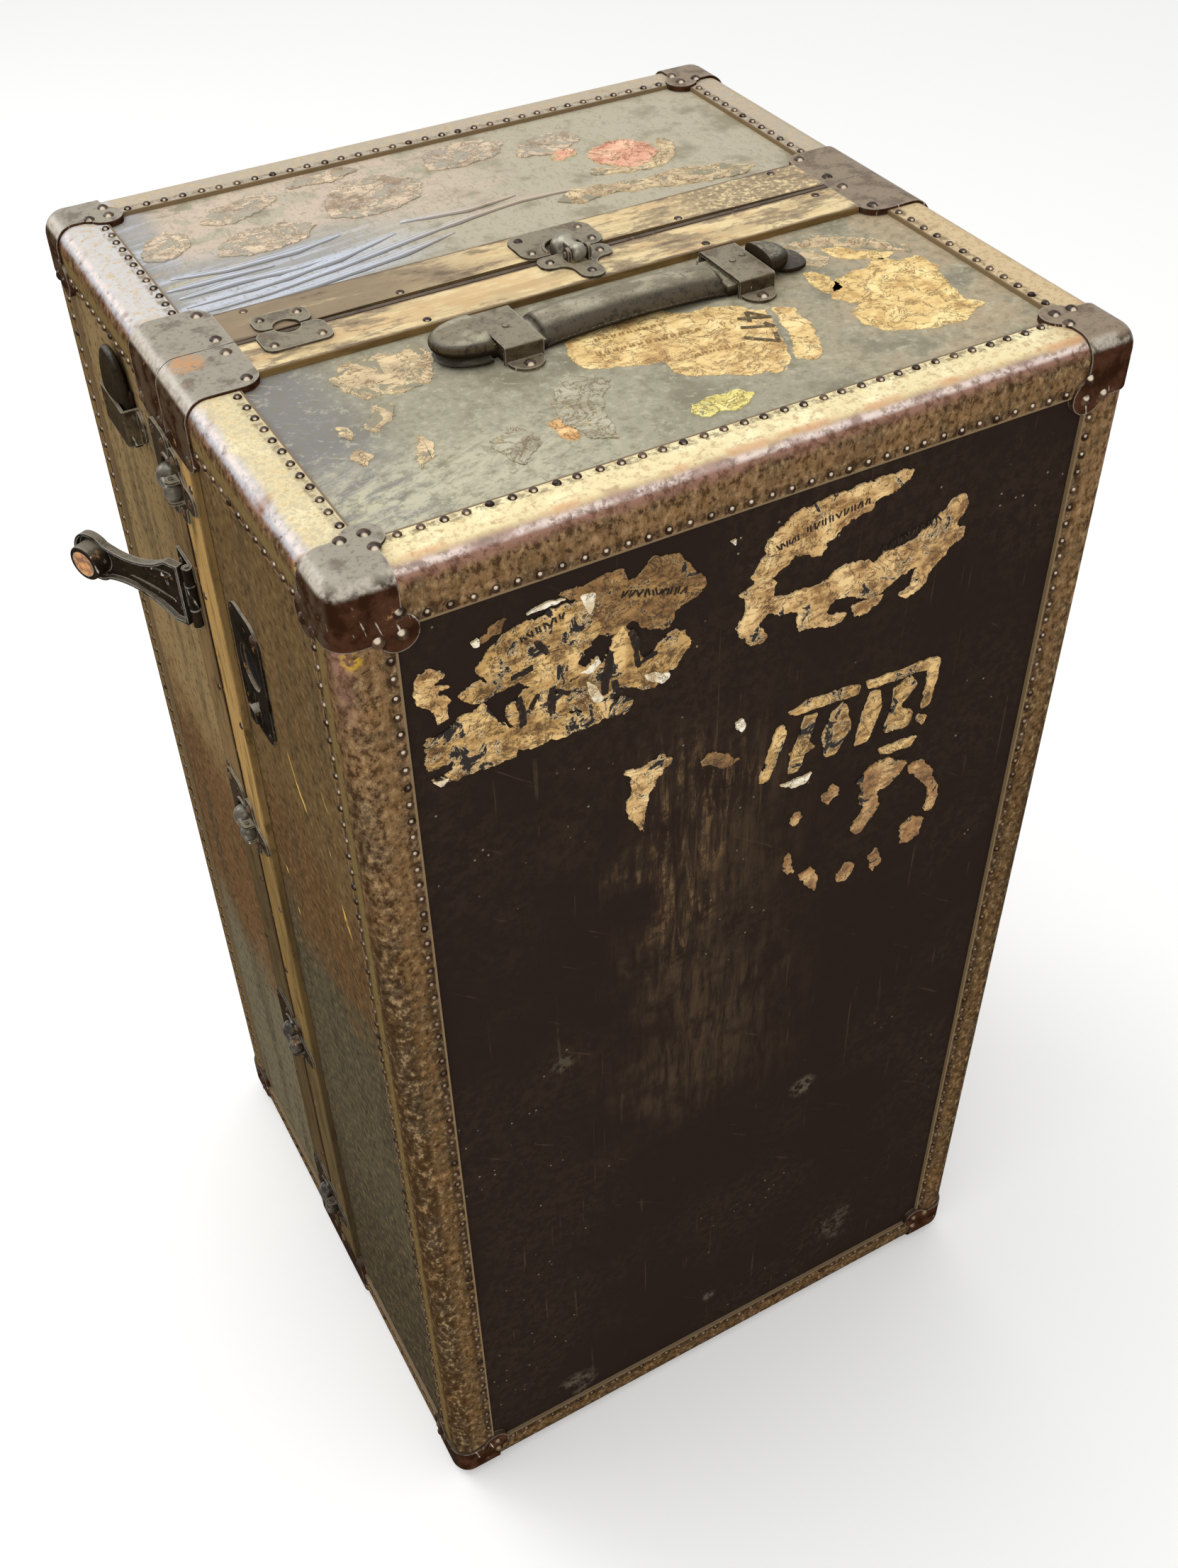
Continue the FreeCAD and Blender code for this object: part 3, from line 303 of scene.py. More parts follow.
    def blotches(self, pattern: Value, start: float, tones: Iterable[Tone], gap: float = 0.12) -> Socket:
        """Colour a pattern with several tones, one after the other as it rises.

        Args:
            pattern: the noise that is coloured.
            start: the value at which the second tone begins.
            tones: two or more colours, for the lowest values first.
            gap: how far apart the tones begin.

        Returns:
            The colour.
        """
        first, *rest = tones
        colour: Colour = first
        for index, following in enumerate(rest):
            low = start + gap * index
            colour = self.mix(self.step(pattern, low, low + gap), colour, following)
        return colour

    def away(self, value: Value, middle: float) -> Socket:
        """Give the distance of a value from a middle."""
        return self.math("ABSOLUTE", self.math("SUBTRACT", value, middle))

    def convex(self, radius: float) -> Socket:
        """Give a mask of the sharp edges, about as wide as a radius."""
        normal = self.add("NewGeometry").outputs["Normal"]
        eased = self.add("Bevel", {"Radius": radius}, samples=self.CONVEX_SAMPLES).outputs[0]
        product = self.add("VectorMath", {0: normal, 1: eased}, operation="DOT_PRODUCT")
        return self.step(product.outputs["Value"], *self.CONVEX_COSINES)

    def edge_distance(self, planes: Planes) -> Socket:
        """Give the distance of a point on the trunk's skin from the nearest outer edge, in metres."""
        across = self.math("SUBTRACT", planes.half_width, self.away(self.x, 0.0))
        deep = self.math("SUBTRACT", planes.half_depth, self.away(self.y, 0.0))
        high = self.math("SUBTRACT", planes.height / 2, self.away(self.z, planes.height / 2))
        least = self.math("MINIMUM", across, deep)
        most = self.math("MAXIMUM", across, deep)
        return self.math("MAXIMUM", least, self.math("MINIMUM", most, high))

    def bump(self, height: Value, depth: float, strength: float = 1.0) -> None:
        """Raise the surface by a height pattern, on top of any bump before.

        Args:
            height: the pattern, from 0 to 1.
            depth: how deep the pattern is, in metres.
            strength: how much of it shows.
        """
        inputs = {"Strength": strength, "Distance": depth, "Height": height}
        if self.normal is not None:
            inputs["Normal"] = self.normal
        self.normal = self.add("Bump", inputs).outputs[0]

    def finished(self, colour: Colour, roughness: Value | None = None) -> bpy.types.Material:
        """Link the colour, the roughness and the bumps to the shader, and give the material."""
        self.put(self.shader.inputs["Base Color"], colour)
        if roughness is not None:
            self.put(self.shader.inputs["Roughness"], roughness)
        if self.normal is not None:
            self.put(self.shader.inputs["Normal"], self.normal)
        return self.material


@dataclass(frozen=True)
class PaintedCanvas:
    """Canvas painted dark brown, worn to olive and grey where light and hands reach it, the tops lighter
    still with painted sheen.
    """

    dark: Tone = tone(43, 33, 28)
    dark_worn: Tone = tone(52, 42, 34)
    fleck: Tone = tone(150, 138, 116)
    streak: Tone = tone(76, 61, 46)
    rubbed: Tone = tone(118, 92, 64)
    scuff: Tone = tone(92, 84, 70)
    olive: Tone = tone(158, 152, 130)
    olive_dark: Tone = tone(130, 124, 102)
    olive_pale: Tone = tone(190, 184, 158)
    # Painted reflection: blue grey light at the left end of the base's top.
    blue_grey_reflection: Tone = tone(124, 122, 120)
    brown_olive: Tone = tone(172, 154, 124)
    # Painted sheen: reflected light on the top of the lid, in streaks and on the folds.
    sheen: Tone = tone(152, 152, 152)
    sheen_light: Tone = tone(196, 202, 214)
    lid_olive: Tone = tone(182, 173, 150)
    lid_dark: Tone = tone(150, 141, 117)
    lid_brown: Tone = tone(204, 184, 164)
    # Painted shade on the fold slopes that face the front.
    fold_shade: Tone = tone(104, 96, 82)
    side_brown: Tone = tone(98, 77, 50)
    side_red: Tone = tone(92, 68, 44)
    side_dark: Tone = tone(44, 37, 27)
    side_grey: Tone = tone(78, 71, 55)
    side_low: Tone = tone(66, 59, 46)
    lid_up: Tone = tone(132, 110, 76)
    lid_red: Tone = tone(98, 72, 48)
    lid_low: Tone = tone(102, 95, 76)
    scratch: Tone = tone(206, 170, 92)
    scuffs: tuple[tuple[Spot, float, float], ...] = (
        ((0.076, -0.262, 0.366), 16 * MM, 0.9), ((0.142, -0.262, 0.104), 34 * MM, 0.6),
        ((-0.150, -0.262, 0.058), 26 * MM, 0.8), ((-0.008, -0.262, 0.094), 9 * MM, 0.8),
        ((-0.150, -0.262, 0.544), 12 * MM, 0.5),
    )
    thread_pitch: float = 1.1 * MM

    def material(self, planes: Planes) -> bpy.types.Material:
        """Make the canvas, with its wear, its painted sheen and its painted shade placed on each face."""
        graph = ShaderGraph("painted_canvas", specular=0.40, side_specular=0.0)
        cloud = graph.noise(7.0, 4.0, 0.6)
        patch = graph.noise(26.0, 5.0, 0.6, shift=3.1)
        fine = graph.noise(170.0, 4.0, 0.65, shift=7.7)
        colour = self.front(graph, cloud, patch, fine)
        left = graph.step(graph.x, planes.canvas_low.x + 1.5 * MM, planes.canvas_low.x + 0.5 * MM)
        right = graph.step(graph.x, planes.canvas_high.x - 1.5 * MM, planes.canvas_high.x - 0.5 * MM)
        side = self.side(graph, planes, patch, fine)
        top = graph.step(graph.z, planes.canvas_high.z - 1.5 * MM, planes.canvas_high.z - 0.5 * MM)
        lid = graph.step(graph.y, planes.split - MM, planes.split + MM)
        colour = graph.coats(colour, (
            (side, graph.either(left, right)),
            (self.base_top(graph, patch, fine), top, graph.other(lid)),
            (self.lid_top(graph, patch), top, lid),
        ))
        graph.bump(self.weave(graph), 0.2 * MM, 0.25)
        graph.bump(patch, 1.2 * MM, 0.5)
        graph.bump(fine, 0.25 * MM, 0.5)
        ridges = graph.noise(13.0, 2.0, 0.5, shift=1.3, stretch=(0.35, 1.6, 1.0), warp=0.6)
        graph.bump(graph.both(ridges, top, lid), 6 * MM, 0.6)
        roughness = graph.scaled(fine, 0.30, 0.34)
        return graph.finished(colour, roughness)

    def weave(self, graph: ShaderGraph) -> Socket:
        """Give the height of the canvas threads."""
        waves = [graph.math("SINE", graph.math("MULTIPLY", axis, math.tau / self.thread_pitch))
                 for axis in (graph.x, graph.y, graph.z)]
        total = graph.math("ADD", graph.math("ADD", waves[0], waves[1]), waves[2])
        return graph.scaled(total, 1 / 6, 0.5)

    def front(self, graph: ShaderGraph, cloud: Socket, patch: Socket, fine: Socket) -> Socket:
        """Colour the dark front: rubbed streaks below the papers, fine scratches and a few scuffs."""
        worn = graph.both((cloud, 0.4, 0.64), (fine, 0.4, 0.62), 0.8)
        colour = graph.mix(worn, self.dark, self.dark_worn)
        flecks = graph.both((graph.specks(95.0, 2.2), 0.09, 0.06), (cloud, 0.55, 0.58))
        cross = graph.noise(210.0, 3.0, 0.6, shift=9.1, stretch=(0.06, 1.0, 1.0), turn=(0.0, -0.7, 0.0))
        run = graph.noise(150.0, 5.0, 0.75, shift=4.4, stretch=(1.0, 1.0, 0.13), warp=0.4)
        across = graph.scaled(cloud, 0.22, graph.scaled(patch, 0.12, graph.x))
        near = graph.step(graph.y, -0.20, -0.25)
        wide = graph.both(graph.band(across, 0.080, 0.195, 0.09), graph.band(graph.z, 0.42, 0.80, 0.12), near)
        strong = graph.both(graph.band(across, 0.085, 0.160, 0.05), graph.band(graph.z, 0.62, 0.80, 0.09),
                            near)
        hair = graph.noise(260.0, 2.0, 0.5, shift=2.7, stretch=(1.0, 1.0, 0.03))
        colour = graph.coats(colour, (
            (self.fleck, flecks, 0.7),
            (self.streak, (cross, 0.66, 0.71), (patch, 0.44, 0.56), 0.45),
            (self.streak, wide, (run, 0.34, 0.66), (patch, 0.34, 0.54), 0.85),
            (self.rubbed, strong, (run, 0.48, 0.64), (fine, 0.4, 0.56), 0.85),
            (self.streak, (hair, 0.66, 0.72), (patch, 0.44, 0.6), 0.6),
        ))
        for place, radius, strength in self.scuffs:
            colour = graph.coat(colour, self.scuff, graph.spot(place, radius), (patch, 0.42, 0.54),
                                (fine, 0.42, 0.56), strength)
        return colour

    def side(self, graph: ShaderGraph, planes: Planes, patch: Socket, fine: Socket) -> Socket:
        """Colour the sides: olive brown at the top, reddish below it, then grey and dark, with painted shade
        along the edge of the base slat.
        """
        drift = graph.scaled(patch, 0.16, graph.math("ADD", graph.z, -0.08))
        run = graph.noise(45.0, 4.0, 0.65, shift=9.2, stretch=(1.0, 1.0, 0.12))
        base = graph.coats(self.side_low, (
            (self.side_grey, (drift, 0.18, 0.34)),
            (self.side_red, (drift, 0.54, 0.62)),
            (self.side_brown, (drift, 0.68, 0.76)),
        ))
        lid = graph.step(graph.y, planes.split - MM, planes.split + MM)
        back = graph.coats(self.lid_low, (
            (self.lid_red, (drift, 0.3, 0.4)),
            (self.lid_up, (drift, 0.56, 0.68)),
        ))
        colour = graph.mix(lid, base, back)
        rub = graph.noise(120.0, 5.0, 0.75, shift=3.9, stretch=(1.0, 0.5, 0.2), turn=(0.5, 0.0, 0.0))
        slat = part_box("base_slats")[0].y
        # Painted shade: a dark band on the canvas along the edge of the base slat.
        near = graph.both(graph.band(graph.y, slat - 1.6 * MM, slat + 4 * MM, MM), 0.75)
        dash = graph.noise(85.0, 2.0, 0.5, shift=5.5, stretch=(1.0, 1.0, 0.20), turn=(0.45, 0.0, 0.0))
        zone = graph.both(graph.band(graph.z, 0.56, 0.8, 0.08), (patch, 0.44, 0.54), graph.other(lid))
        return graph.coats(colour, (
            (self.side_low, (run, 0.48, 0.66), 0.55),
            (self.lid_up, (fine, 0.5, 0.68), 0.45),
            (self.side_dark, (fine, 0.46, 0.36), 0.6),
            (self.side_brown, (rub, 0.58, 0.68), 0.5),
            (self.side_dark, near),
            (self.scratch, (dash, 0.69, 0.72), zone),
        ))

    def base_top(self, graph: ShaderGraph, patch: Socket, fine: Socket) -> Socket:
        """Colour the top of the base: olive, with a painted blue grey reflection at the left end, pale with
        dust at the front left.
        """
        colour = graph.blotches(patch, 0.32, (self.olive_dark, self.olive, self.olive), 0.2)
        dust = graph.noise(130.0, 6.0, 0.78, shift=6.4, stretch=(0.35, 1.0, 1.0), turn=(0.0, 0.0, -0.35),
                           warp=0.5)
        pale = graph.both((graph.x, -0.02, -0.14), (graph.y, -0.13, -0.19))
        hair = graph.noise(240.0, 3.0, 0.6, shift=8.7, stretch=(0.12, 1.0, 1.0), turn=(0.0, 0.0, 0.6),
                           warp=0.6)
        return graph.coats(colour, (
            (self.brown_olive, (graph.x, 0.02, 0.2), (patch, 0.36, 0.58)),
            # Painted reflection: blue grey light at the left end of the top.
            (self.blue_grey_reflection, (graph.x, -0.165, -0.215), 0.9),
            (self.olive_pale, pale, (dust, 0.36, 0.58)),
            (self.olive_pale, (hair, 0.62, 0.7), 0.45),
            (self.olive_pale, (fine, 0.46, 0.34), 0.5),
            (self.olive_dark, (fine, 0.5, 0.66), 0.65),
        ))

    def lid_top(self, graph: ShaderGraph, patch: Socket) -> Socket:
        """Colour the top of the lid: olive, with painted blue grey sheen streaks in front, pinkish remains
        behind, and painted highlight and shade on the folds.
        """
        run = graph.noise(52.0, 5.0, 0.66, shift=2.2, stretch=(0.10, 1.0, 1.0), turn=(0.0, 0.0, -0.12),
                          warp=0.2)
        colour = graph.blotches(patch, 0.34, (self.lid_dark, self.lid_olive, self.lid_olive), 0.16)
        brown = graph.noise(38.0, 6.0, 0.72, shift=6.1, stretch=(0.7, 1.2, 1.0), warp=0.8)
        zone = graph.both((graph.x, 0.09, -0.05), (graph.y, 0.1, 0.14))
        # Painted sheen: blue grey streaks of reflected light.
        streaks = graph.coat(self.sheen, self.sheen_light, (run, 0.46, 0.6))
        colour = graph.coat(colour, self.lid_brown, zone, (brown, 0.42, 0.54), 0.85)
        zone = graph.both((graph.x, -0.02, -0.14), (run, 0.34, 0.44))
        front = graph.either(graph.step(graph.y, 0.155, 0.115), graph.step(graph.x, -0.200, -0.222))
        crackle = graph.noise(230.0, 4.0, 0.7, shift=12.0, stretch=(1.0, 0.5, 1.0), warp=1.5)
        # Painted highlight on the slopes of the folds.
        lit = graph.coat(self.lid_brown, self.sheen_light, (graph.x, 0.02, -0.1))
        return graph.coats(colour, (
            (streaks, zone, front, 0.85),
            (self.lid_dark, (crackle, 0.52, 0.62), 0.6),
            (lit, (graph.normal_z, 0.999, 0.985), (patch, 0.3, 0.44)),
            # Painted shade on the slopes of the folds that face the front.
            (self.fold_shade, (graph.normal_y, -0.22, -0.44), 0.7),
        ))


@dataclass(frozen=True)
class Rawhide:
    """Rawhide edge binding: worn purple brown on the top edges with a painted highlight along their crown,
    tan beside it, grimy at the tacks with painted shade round them.
    """

    up: Tone = tone(238, 222, 172)
    up_light: Tone = tone(252, 242, 196)
    up_shade: Tone = tone(206, 180, 134)
    # Painted bluish sheen on the lid's left top leg.
    up_left: Tone = tone(206, 191, 153)
    up_left_lid_sheen: Tone = tone(204, 200, 196)
    up_right: Tone = tone(212, 188, 144)
    up_back: Tone = tone(184, 171, 150)
    smudge: Tone = tone(206, 148, 100)
    front: Tone = tone(128, 100, 70)
    front_low: Tone = tone(78, 60, 40)
    front_grey: Tone = tone(82, 70, 54)
    front_tan: Tone = tone(128, 97, 62)
    front_dark: Tone = tone(60, 42, 25)
    front_light: Tone = tone(172, 142, 102)
    side_line: Tone = tone(114, 96, 60)
    worn: Tone = tone(150, 112, 96)
    worn_dark: Tone = tone(104, 72, 56)
    # Painted highlight along the crown of the rounded top edges.
    rubbed: Tone = tone(236, 218, 208)
    # Painted bluish sheen on the left top edges.
    left_edge_sheen: Tone = tone(186, 189, 194)
    rim: Tone = tone(128, 108, 80)
    # Grime, and painted shade round the tacks.
    grime_and_tack_shadow: Tone = tone(54, 40, 28)
    yellow: Tone = tone(190, 152, 52)
    dabs: tuple[tuple[Spot, float], ...] = (((-0.270, -0.226, 1.006), 13 * MM),
                                            ((-0.266, -0.265, 0.971), 9 * MM))

    def material(self, planes: Planes) -> bpy.types.Material:
        """Make the rawhide, with its wear, its painted highlights and its painted shade placed by the
        distance from the trunk's edges.
        """
        graph = ShaderGraph("rawhide_binding", specular=0.5, side_specular=0.0)
        edge = graph.edge_distance(planes)
        mottle = graph.noise(170.0, 6.0, 0.72, shift=1.7, warp=0.25)
        fibre = graph.noise(420.0, 3.0, 0.6, shift=5.9)
        drift = graph.noise(34.0, 4.0, 0.62, shift=8.3)
        level = graph.scaled(drift, 0.3, graph.z)
        strokes = graph.noise(200.0, 6.0, 0.72, shift=3.2, stretch=(1.0, 1.0, 0.7))
        inner = graph.both(graph.band(edge, 17 * MM, 30 * MM, 6 * MM), (mottle, 0.42, 0.56))
        side = graph.step(graph.math("ABSOLUTE", graph.normal_x), 0.7, 0.9)
        line = graph.both(side, graph.band(edge, 20 * MM, 31 * MM, 4 * MM), (mottle, 0.34, 0.48))
        lit = self.lit(graph, planes, edge, mottle, drift, fibre)
        face = graph.coats(self.front_low, (
            (self.front, (level, 0.75, 1.05)),
            (self.front_grey, (drift, 0.46, 0.58), 0.6),
            (self.front_tan, (drift, 0.44, 0.34), 0.5),
            (self.front_dark, (strokes, 0.51, 0.42), 0.9),
            (self.front_light, (strokes, 0.53, 0.62), 0.65),
            (self.front_tan, inner, 0.5),
            (self.front_dark, side, 0.4),
            (self.side_line, line, 0.8),
        ))
        colour = graph.mix(graph.up, face, lit)
        # Grime along the tack rows, also standing in as painted shade round each tack.
        shade = graph.both(graph.band(edge, 29.5 * MM, 35.6 * MM, 2.5 * MM), (mottle, 0.44, 0.56))
        colour = graph.coats(colour, (
            (self.edge_wear_and_highlight_tone(graph, planes, mottle, drift), self.edge_wear_and_highlight_zone(graph, edge, drift)),
            (self.grime_and_tack_shadow, shade, 0.5),
            (self.rim, (edge, 36.2 * MM, 36.8 * MM)),
        ))
        for place, radius in self.dabs:
            colour = graph.coat(colour, self.yellow, graph.spot(place, radius), (mottle, 0.47, 0.54), 0.9)
        graph.bump(mottle, 0.9 * MM, 0.7)
        graph.bump(fibre, 0.3 * MM, 0.5)
        return graph.finished(colour, graph.scaled(mottle, 0.35, 0.28))

    def lit(self, graph: ShaderGraph, planes: Planes, edge: Socket, mottle: Socket, drift: Socket,
            fibre: Socket) -> Socket:
        """Colour the legs that face up: pale yellow in front, browner at the right and greyer behind, with a
        painted bluish sheen on the lid's left leg.
        """
        left = graph.step(graph.x, -0.225, -0.235)
        spots = graph.both((graph.x, 0.21, 0.23), (mottle, 0.44, 0.54), (fibre, 0.42, 0.56))
        behind = graph.step(graph.y, planes.split, planes.split + 0.02)
        grit = graph.both((fibre, 0.54, 0.64), (mottle, 0.42, 0.56))
        near = graph.both(graph.band(edge, 8 * MM, 15 * MM, 6 * MM), (drift, 0.4, 0.58))
        dirt = graph.both((drift, 0.36, 0.28), (mottle, 0.4, 0.52))
        return graph.coats(self.up, (
            (self.up_light, (drift, 0.46, 0.66)),
            (self.up_right, (graph.x, 0.2, 0.24)),
            (self.up_left, left, (mottle, 0.58, 0.42)),
            (self.front_light, spots, 0.6),
            # Behind the split, the left leg takes a painted bluish sheen.
            (graph.mix(left, self.up_back, self.up_left_lid_sheen), behind),
            (self.up_shade, (mottle, 0.5, 0.6), 0.7),
            (self.front_light, grit, 0.55),
            (self.smudge, near, (graph.y, -0.2, -0.225), 0.75),
            (self.front_light, dirt, 0.6),
        ))

    def edge_wear_and_highlight_zone(self, graph: ShaderGraph, edge: Socket, drift: Socket) -> Socket:
        """Give where the rounded top edges carry wear and a painted highlight, with an uneven border."""
        uneven = graph.scaled(drift, 12 * MM, graph.math("ADD", edge, -6 * MM))
        return graph.both((uneven, 14 * MM, 7 * MM), (graph.z, 0.9, 0.99))

    def edge_wear_and_highlight_tone(self, graph: ShaderGraph, planes: Planes, mottle: Socket, drift: Socket) -> Socket:
        """Colour the worn edge: purple brown below, with a painted highlight along its crown and a painted
        bluish sheen on the left edges.
        """
        low = planes.binding.z
        # Painted highlight: a bright band along the crown of the rounded top edge.
        crown = graph.band(graph.z, low - 4.6 * MM, low - 1.6 * MM, 2.4 * MM)
        broken = graph.scaled(graph.both((mottle, 0.4, 0.58), (drift, 0.34, 0.5)), 0.7, 0.25)
        crown = graph.both(crown, broken)
        high = graph.both((graph.z, low - 2.6 * MM, low - 0.4 * MM), 0.75)
        # Painted sheen: bluish reflection along the left top edges.
        left = graph.both((graph.x, -0.254, -0.261), (drift, 0.3, 0.46), (mottle, 0.3, 0.46))
        level = graph.scaled(mottle, 5 * MM, graph.z)
        return graph.coats(self.worn_dark, (
            (self.worn, (mottle, 0.4, 0.56)),
            (self.up_shade, high),
            (self.left_edge_sheen, left, 0.85, (level, low - 7 * MM, low - 3 * MM)),
            (self.rubbed, crown),
        ))


@dataclass(frozen=True)
class SlatWood:
    """Flat hardwood slats with old varnish, pale on the top and brown down the sides."""

    up: Tone = tone(202, 178, 132)
    up_light: Tone = tone(232, 209, 158)
    # Painted shade in the notches of the draw bolts.
    hollow: Tone = tone(22, 17, 13)
    up_grime: Tone = tone(160, 142, 112)
    up_orange: Tone = tone(200, 160, 110)
    # Dirt, also used as painted shadow on the right of the lid slat.
    up_dirt_and_shadow: Tone = tone(136, 117, 92)
    up_dark: Tone = tone(98, 78, 58)
    lid_side: Tone = tone(118, 96, 66)
    lid_side_low: Tone = tone(84, 70, 48)
    base_side: Tone = tone(162, 130, 80)
    base_side_mid: Tone = tone(126, 102, 62)
    base_side_low: Tone = tone(94, 79, 54)
    dark: Tone = tone(56, 42, 28)
    notch_inset: float = 9.5 * MM
    notch_shade: float = 24 * MM
    corner_reach: float = 55 * MM

    def material(self, planes: Planes) -> bpy.types.Material:
        """Make the wood, with its grain along the slats and painted shade in the notches of the draw bolts.
        """
        graph = ShaderGraph("slat_wood", specular=0.45, side_specular=0.0)
        long_x = graph.noise(90.0, 5.0, 0.72, shift=2.6, stretch=(0.12, 1.0, 1.0))
        long_z = graph.noise(90.0, 5.0, 0.72, shift=4.6, stretch=(1.0, 1.0, 0.12))
        stain = graph.noise(30.0, 5.0, 0.68, shift=6.6, stretch=(0.5, 1.0, 0.5))
        fine = graph.noise(260.0, 4.0, 0.7, shift=3.4)
        turn = planes.half_width - self.corner_reach
        across = graph.step(graph.away(graph.x, 0.0), turn, turn + 2 * MM)
        grain = graph.math("ADD", graph.both(long_z, across), graph.both(long_x, graph.other(across)))
        lid = graph.step(graph.y, planes.split - MM, planes.split + MM)
        level = graph.scaled(stain, 0.25, graph.z)
        lid_side = graph.coat(self.lid_side_low, self.lid_side, (level, 0.66, 0.8))
        base_side = graph.coats(self.base_side_low, (
            (self.base_side_mid, (level, 0.4, 0.6)),
            (self.base_side, (level, 0.72, 0.8)),
        ))
        side = graph.mix(lid, base_side, lid_side)
        side = graph.coats(side, (
            (self.dark, (grain, 0.46, 0.62), 0.5),
            (self.dark, (stain, 0.54, 0.66), 0.6),
            (self.dark, self.rims(graph, fine), 0.45),
        ))
        worn = graph.both((fine, 0.46, 0.62), (stain, 0.5, 0.36))
        left = graph.both(lid, (graph.x, 0.0, -0.13), (grain, 0.26, 0.42))
        # Painted shadow towards the right of the lid slat, where the warped lid rises off the base.
        right = graph.both(lid, (graph.x, 0.08, 0.14), (fine, 0.38, 0.54))
        soot = graph.noise(70.0, 6.0, 0.75, shift=13.0, stretch=(0.35, 1.0, 1.0))
        clean = graph.both(graph.other(lid), graph.band(graph.x, -0.11, -0.01, 0.04), 0.9)
        rims = self.rims(graph, soot)
        up = graph.coats(self.up_light, (
            (self.up, (grain, 0.42, 0.6)),
            (self.up_orange, (stain, 0.5, 0.62), 0.5),
            (self.up_grime, worn, 0.85),
            (self.up_dirt_and_shadow, left, 0.92),
            (self.up_dirt_and_shadow, right, 0.8),
            (self.up_dirt_and_shadow, (soot, 0.48, 0.58), graph.other(clean), 0.8),
            (self.up_dark, (soot, 0.6, 0.66), 0.7),
            (self.up_dark, rims, 0.8),
        ))
        colour = graph.mix(graph.up, side, up)
        # Painted shade: a dark spot in the slat at each draw bolt's notch.
        for number in range(1, 6):
            low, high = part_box(f"draw_bolt_lever_{number}")
            notch = ((low.x + high.x) / 2, high.y - self.notch_inset, (low.z + high.z) / 2)
            colour = graph.mix(graph.spot(notch, self.notch_shade), colour, self.hollow)
        graph.bump(grain, 0.5 * MM, 0.7)
        graph.bump(fine, 0.3 * MM, 0.6)
        return graph.finished(colour, graph.scaled(stain, 0.3, 0.32))

    def rims(self, graph: ShaderGraph, soot: Socket) -> Socket:
        """Give the dirty borders of both slats, of uneven width."""
        edges = [corner.y for name in ("base_slats", "lid_slats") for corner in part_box(name)]
        near, *rest = [graph.scaled(soot, -6 * MM, graph.away(graph.y, edge)) for edge in edges]
        for distance in rest:
            near = graph.math("MINIMUM", near, distance)
        return graph.step(near, 0.5 * MM, -2.0 * MM)


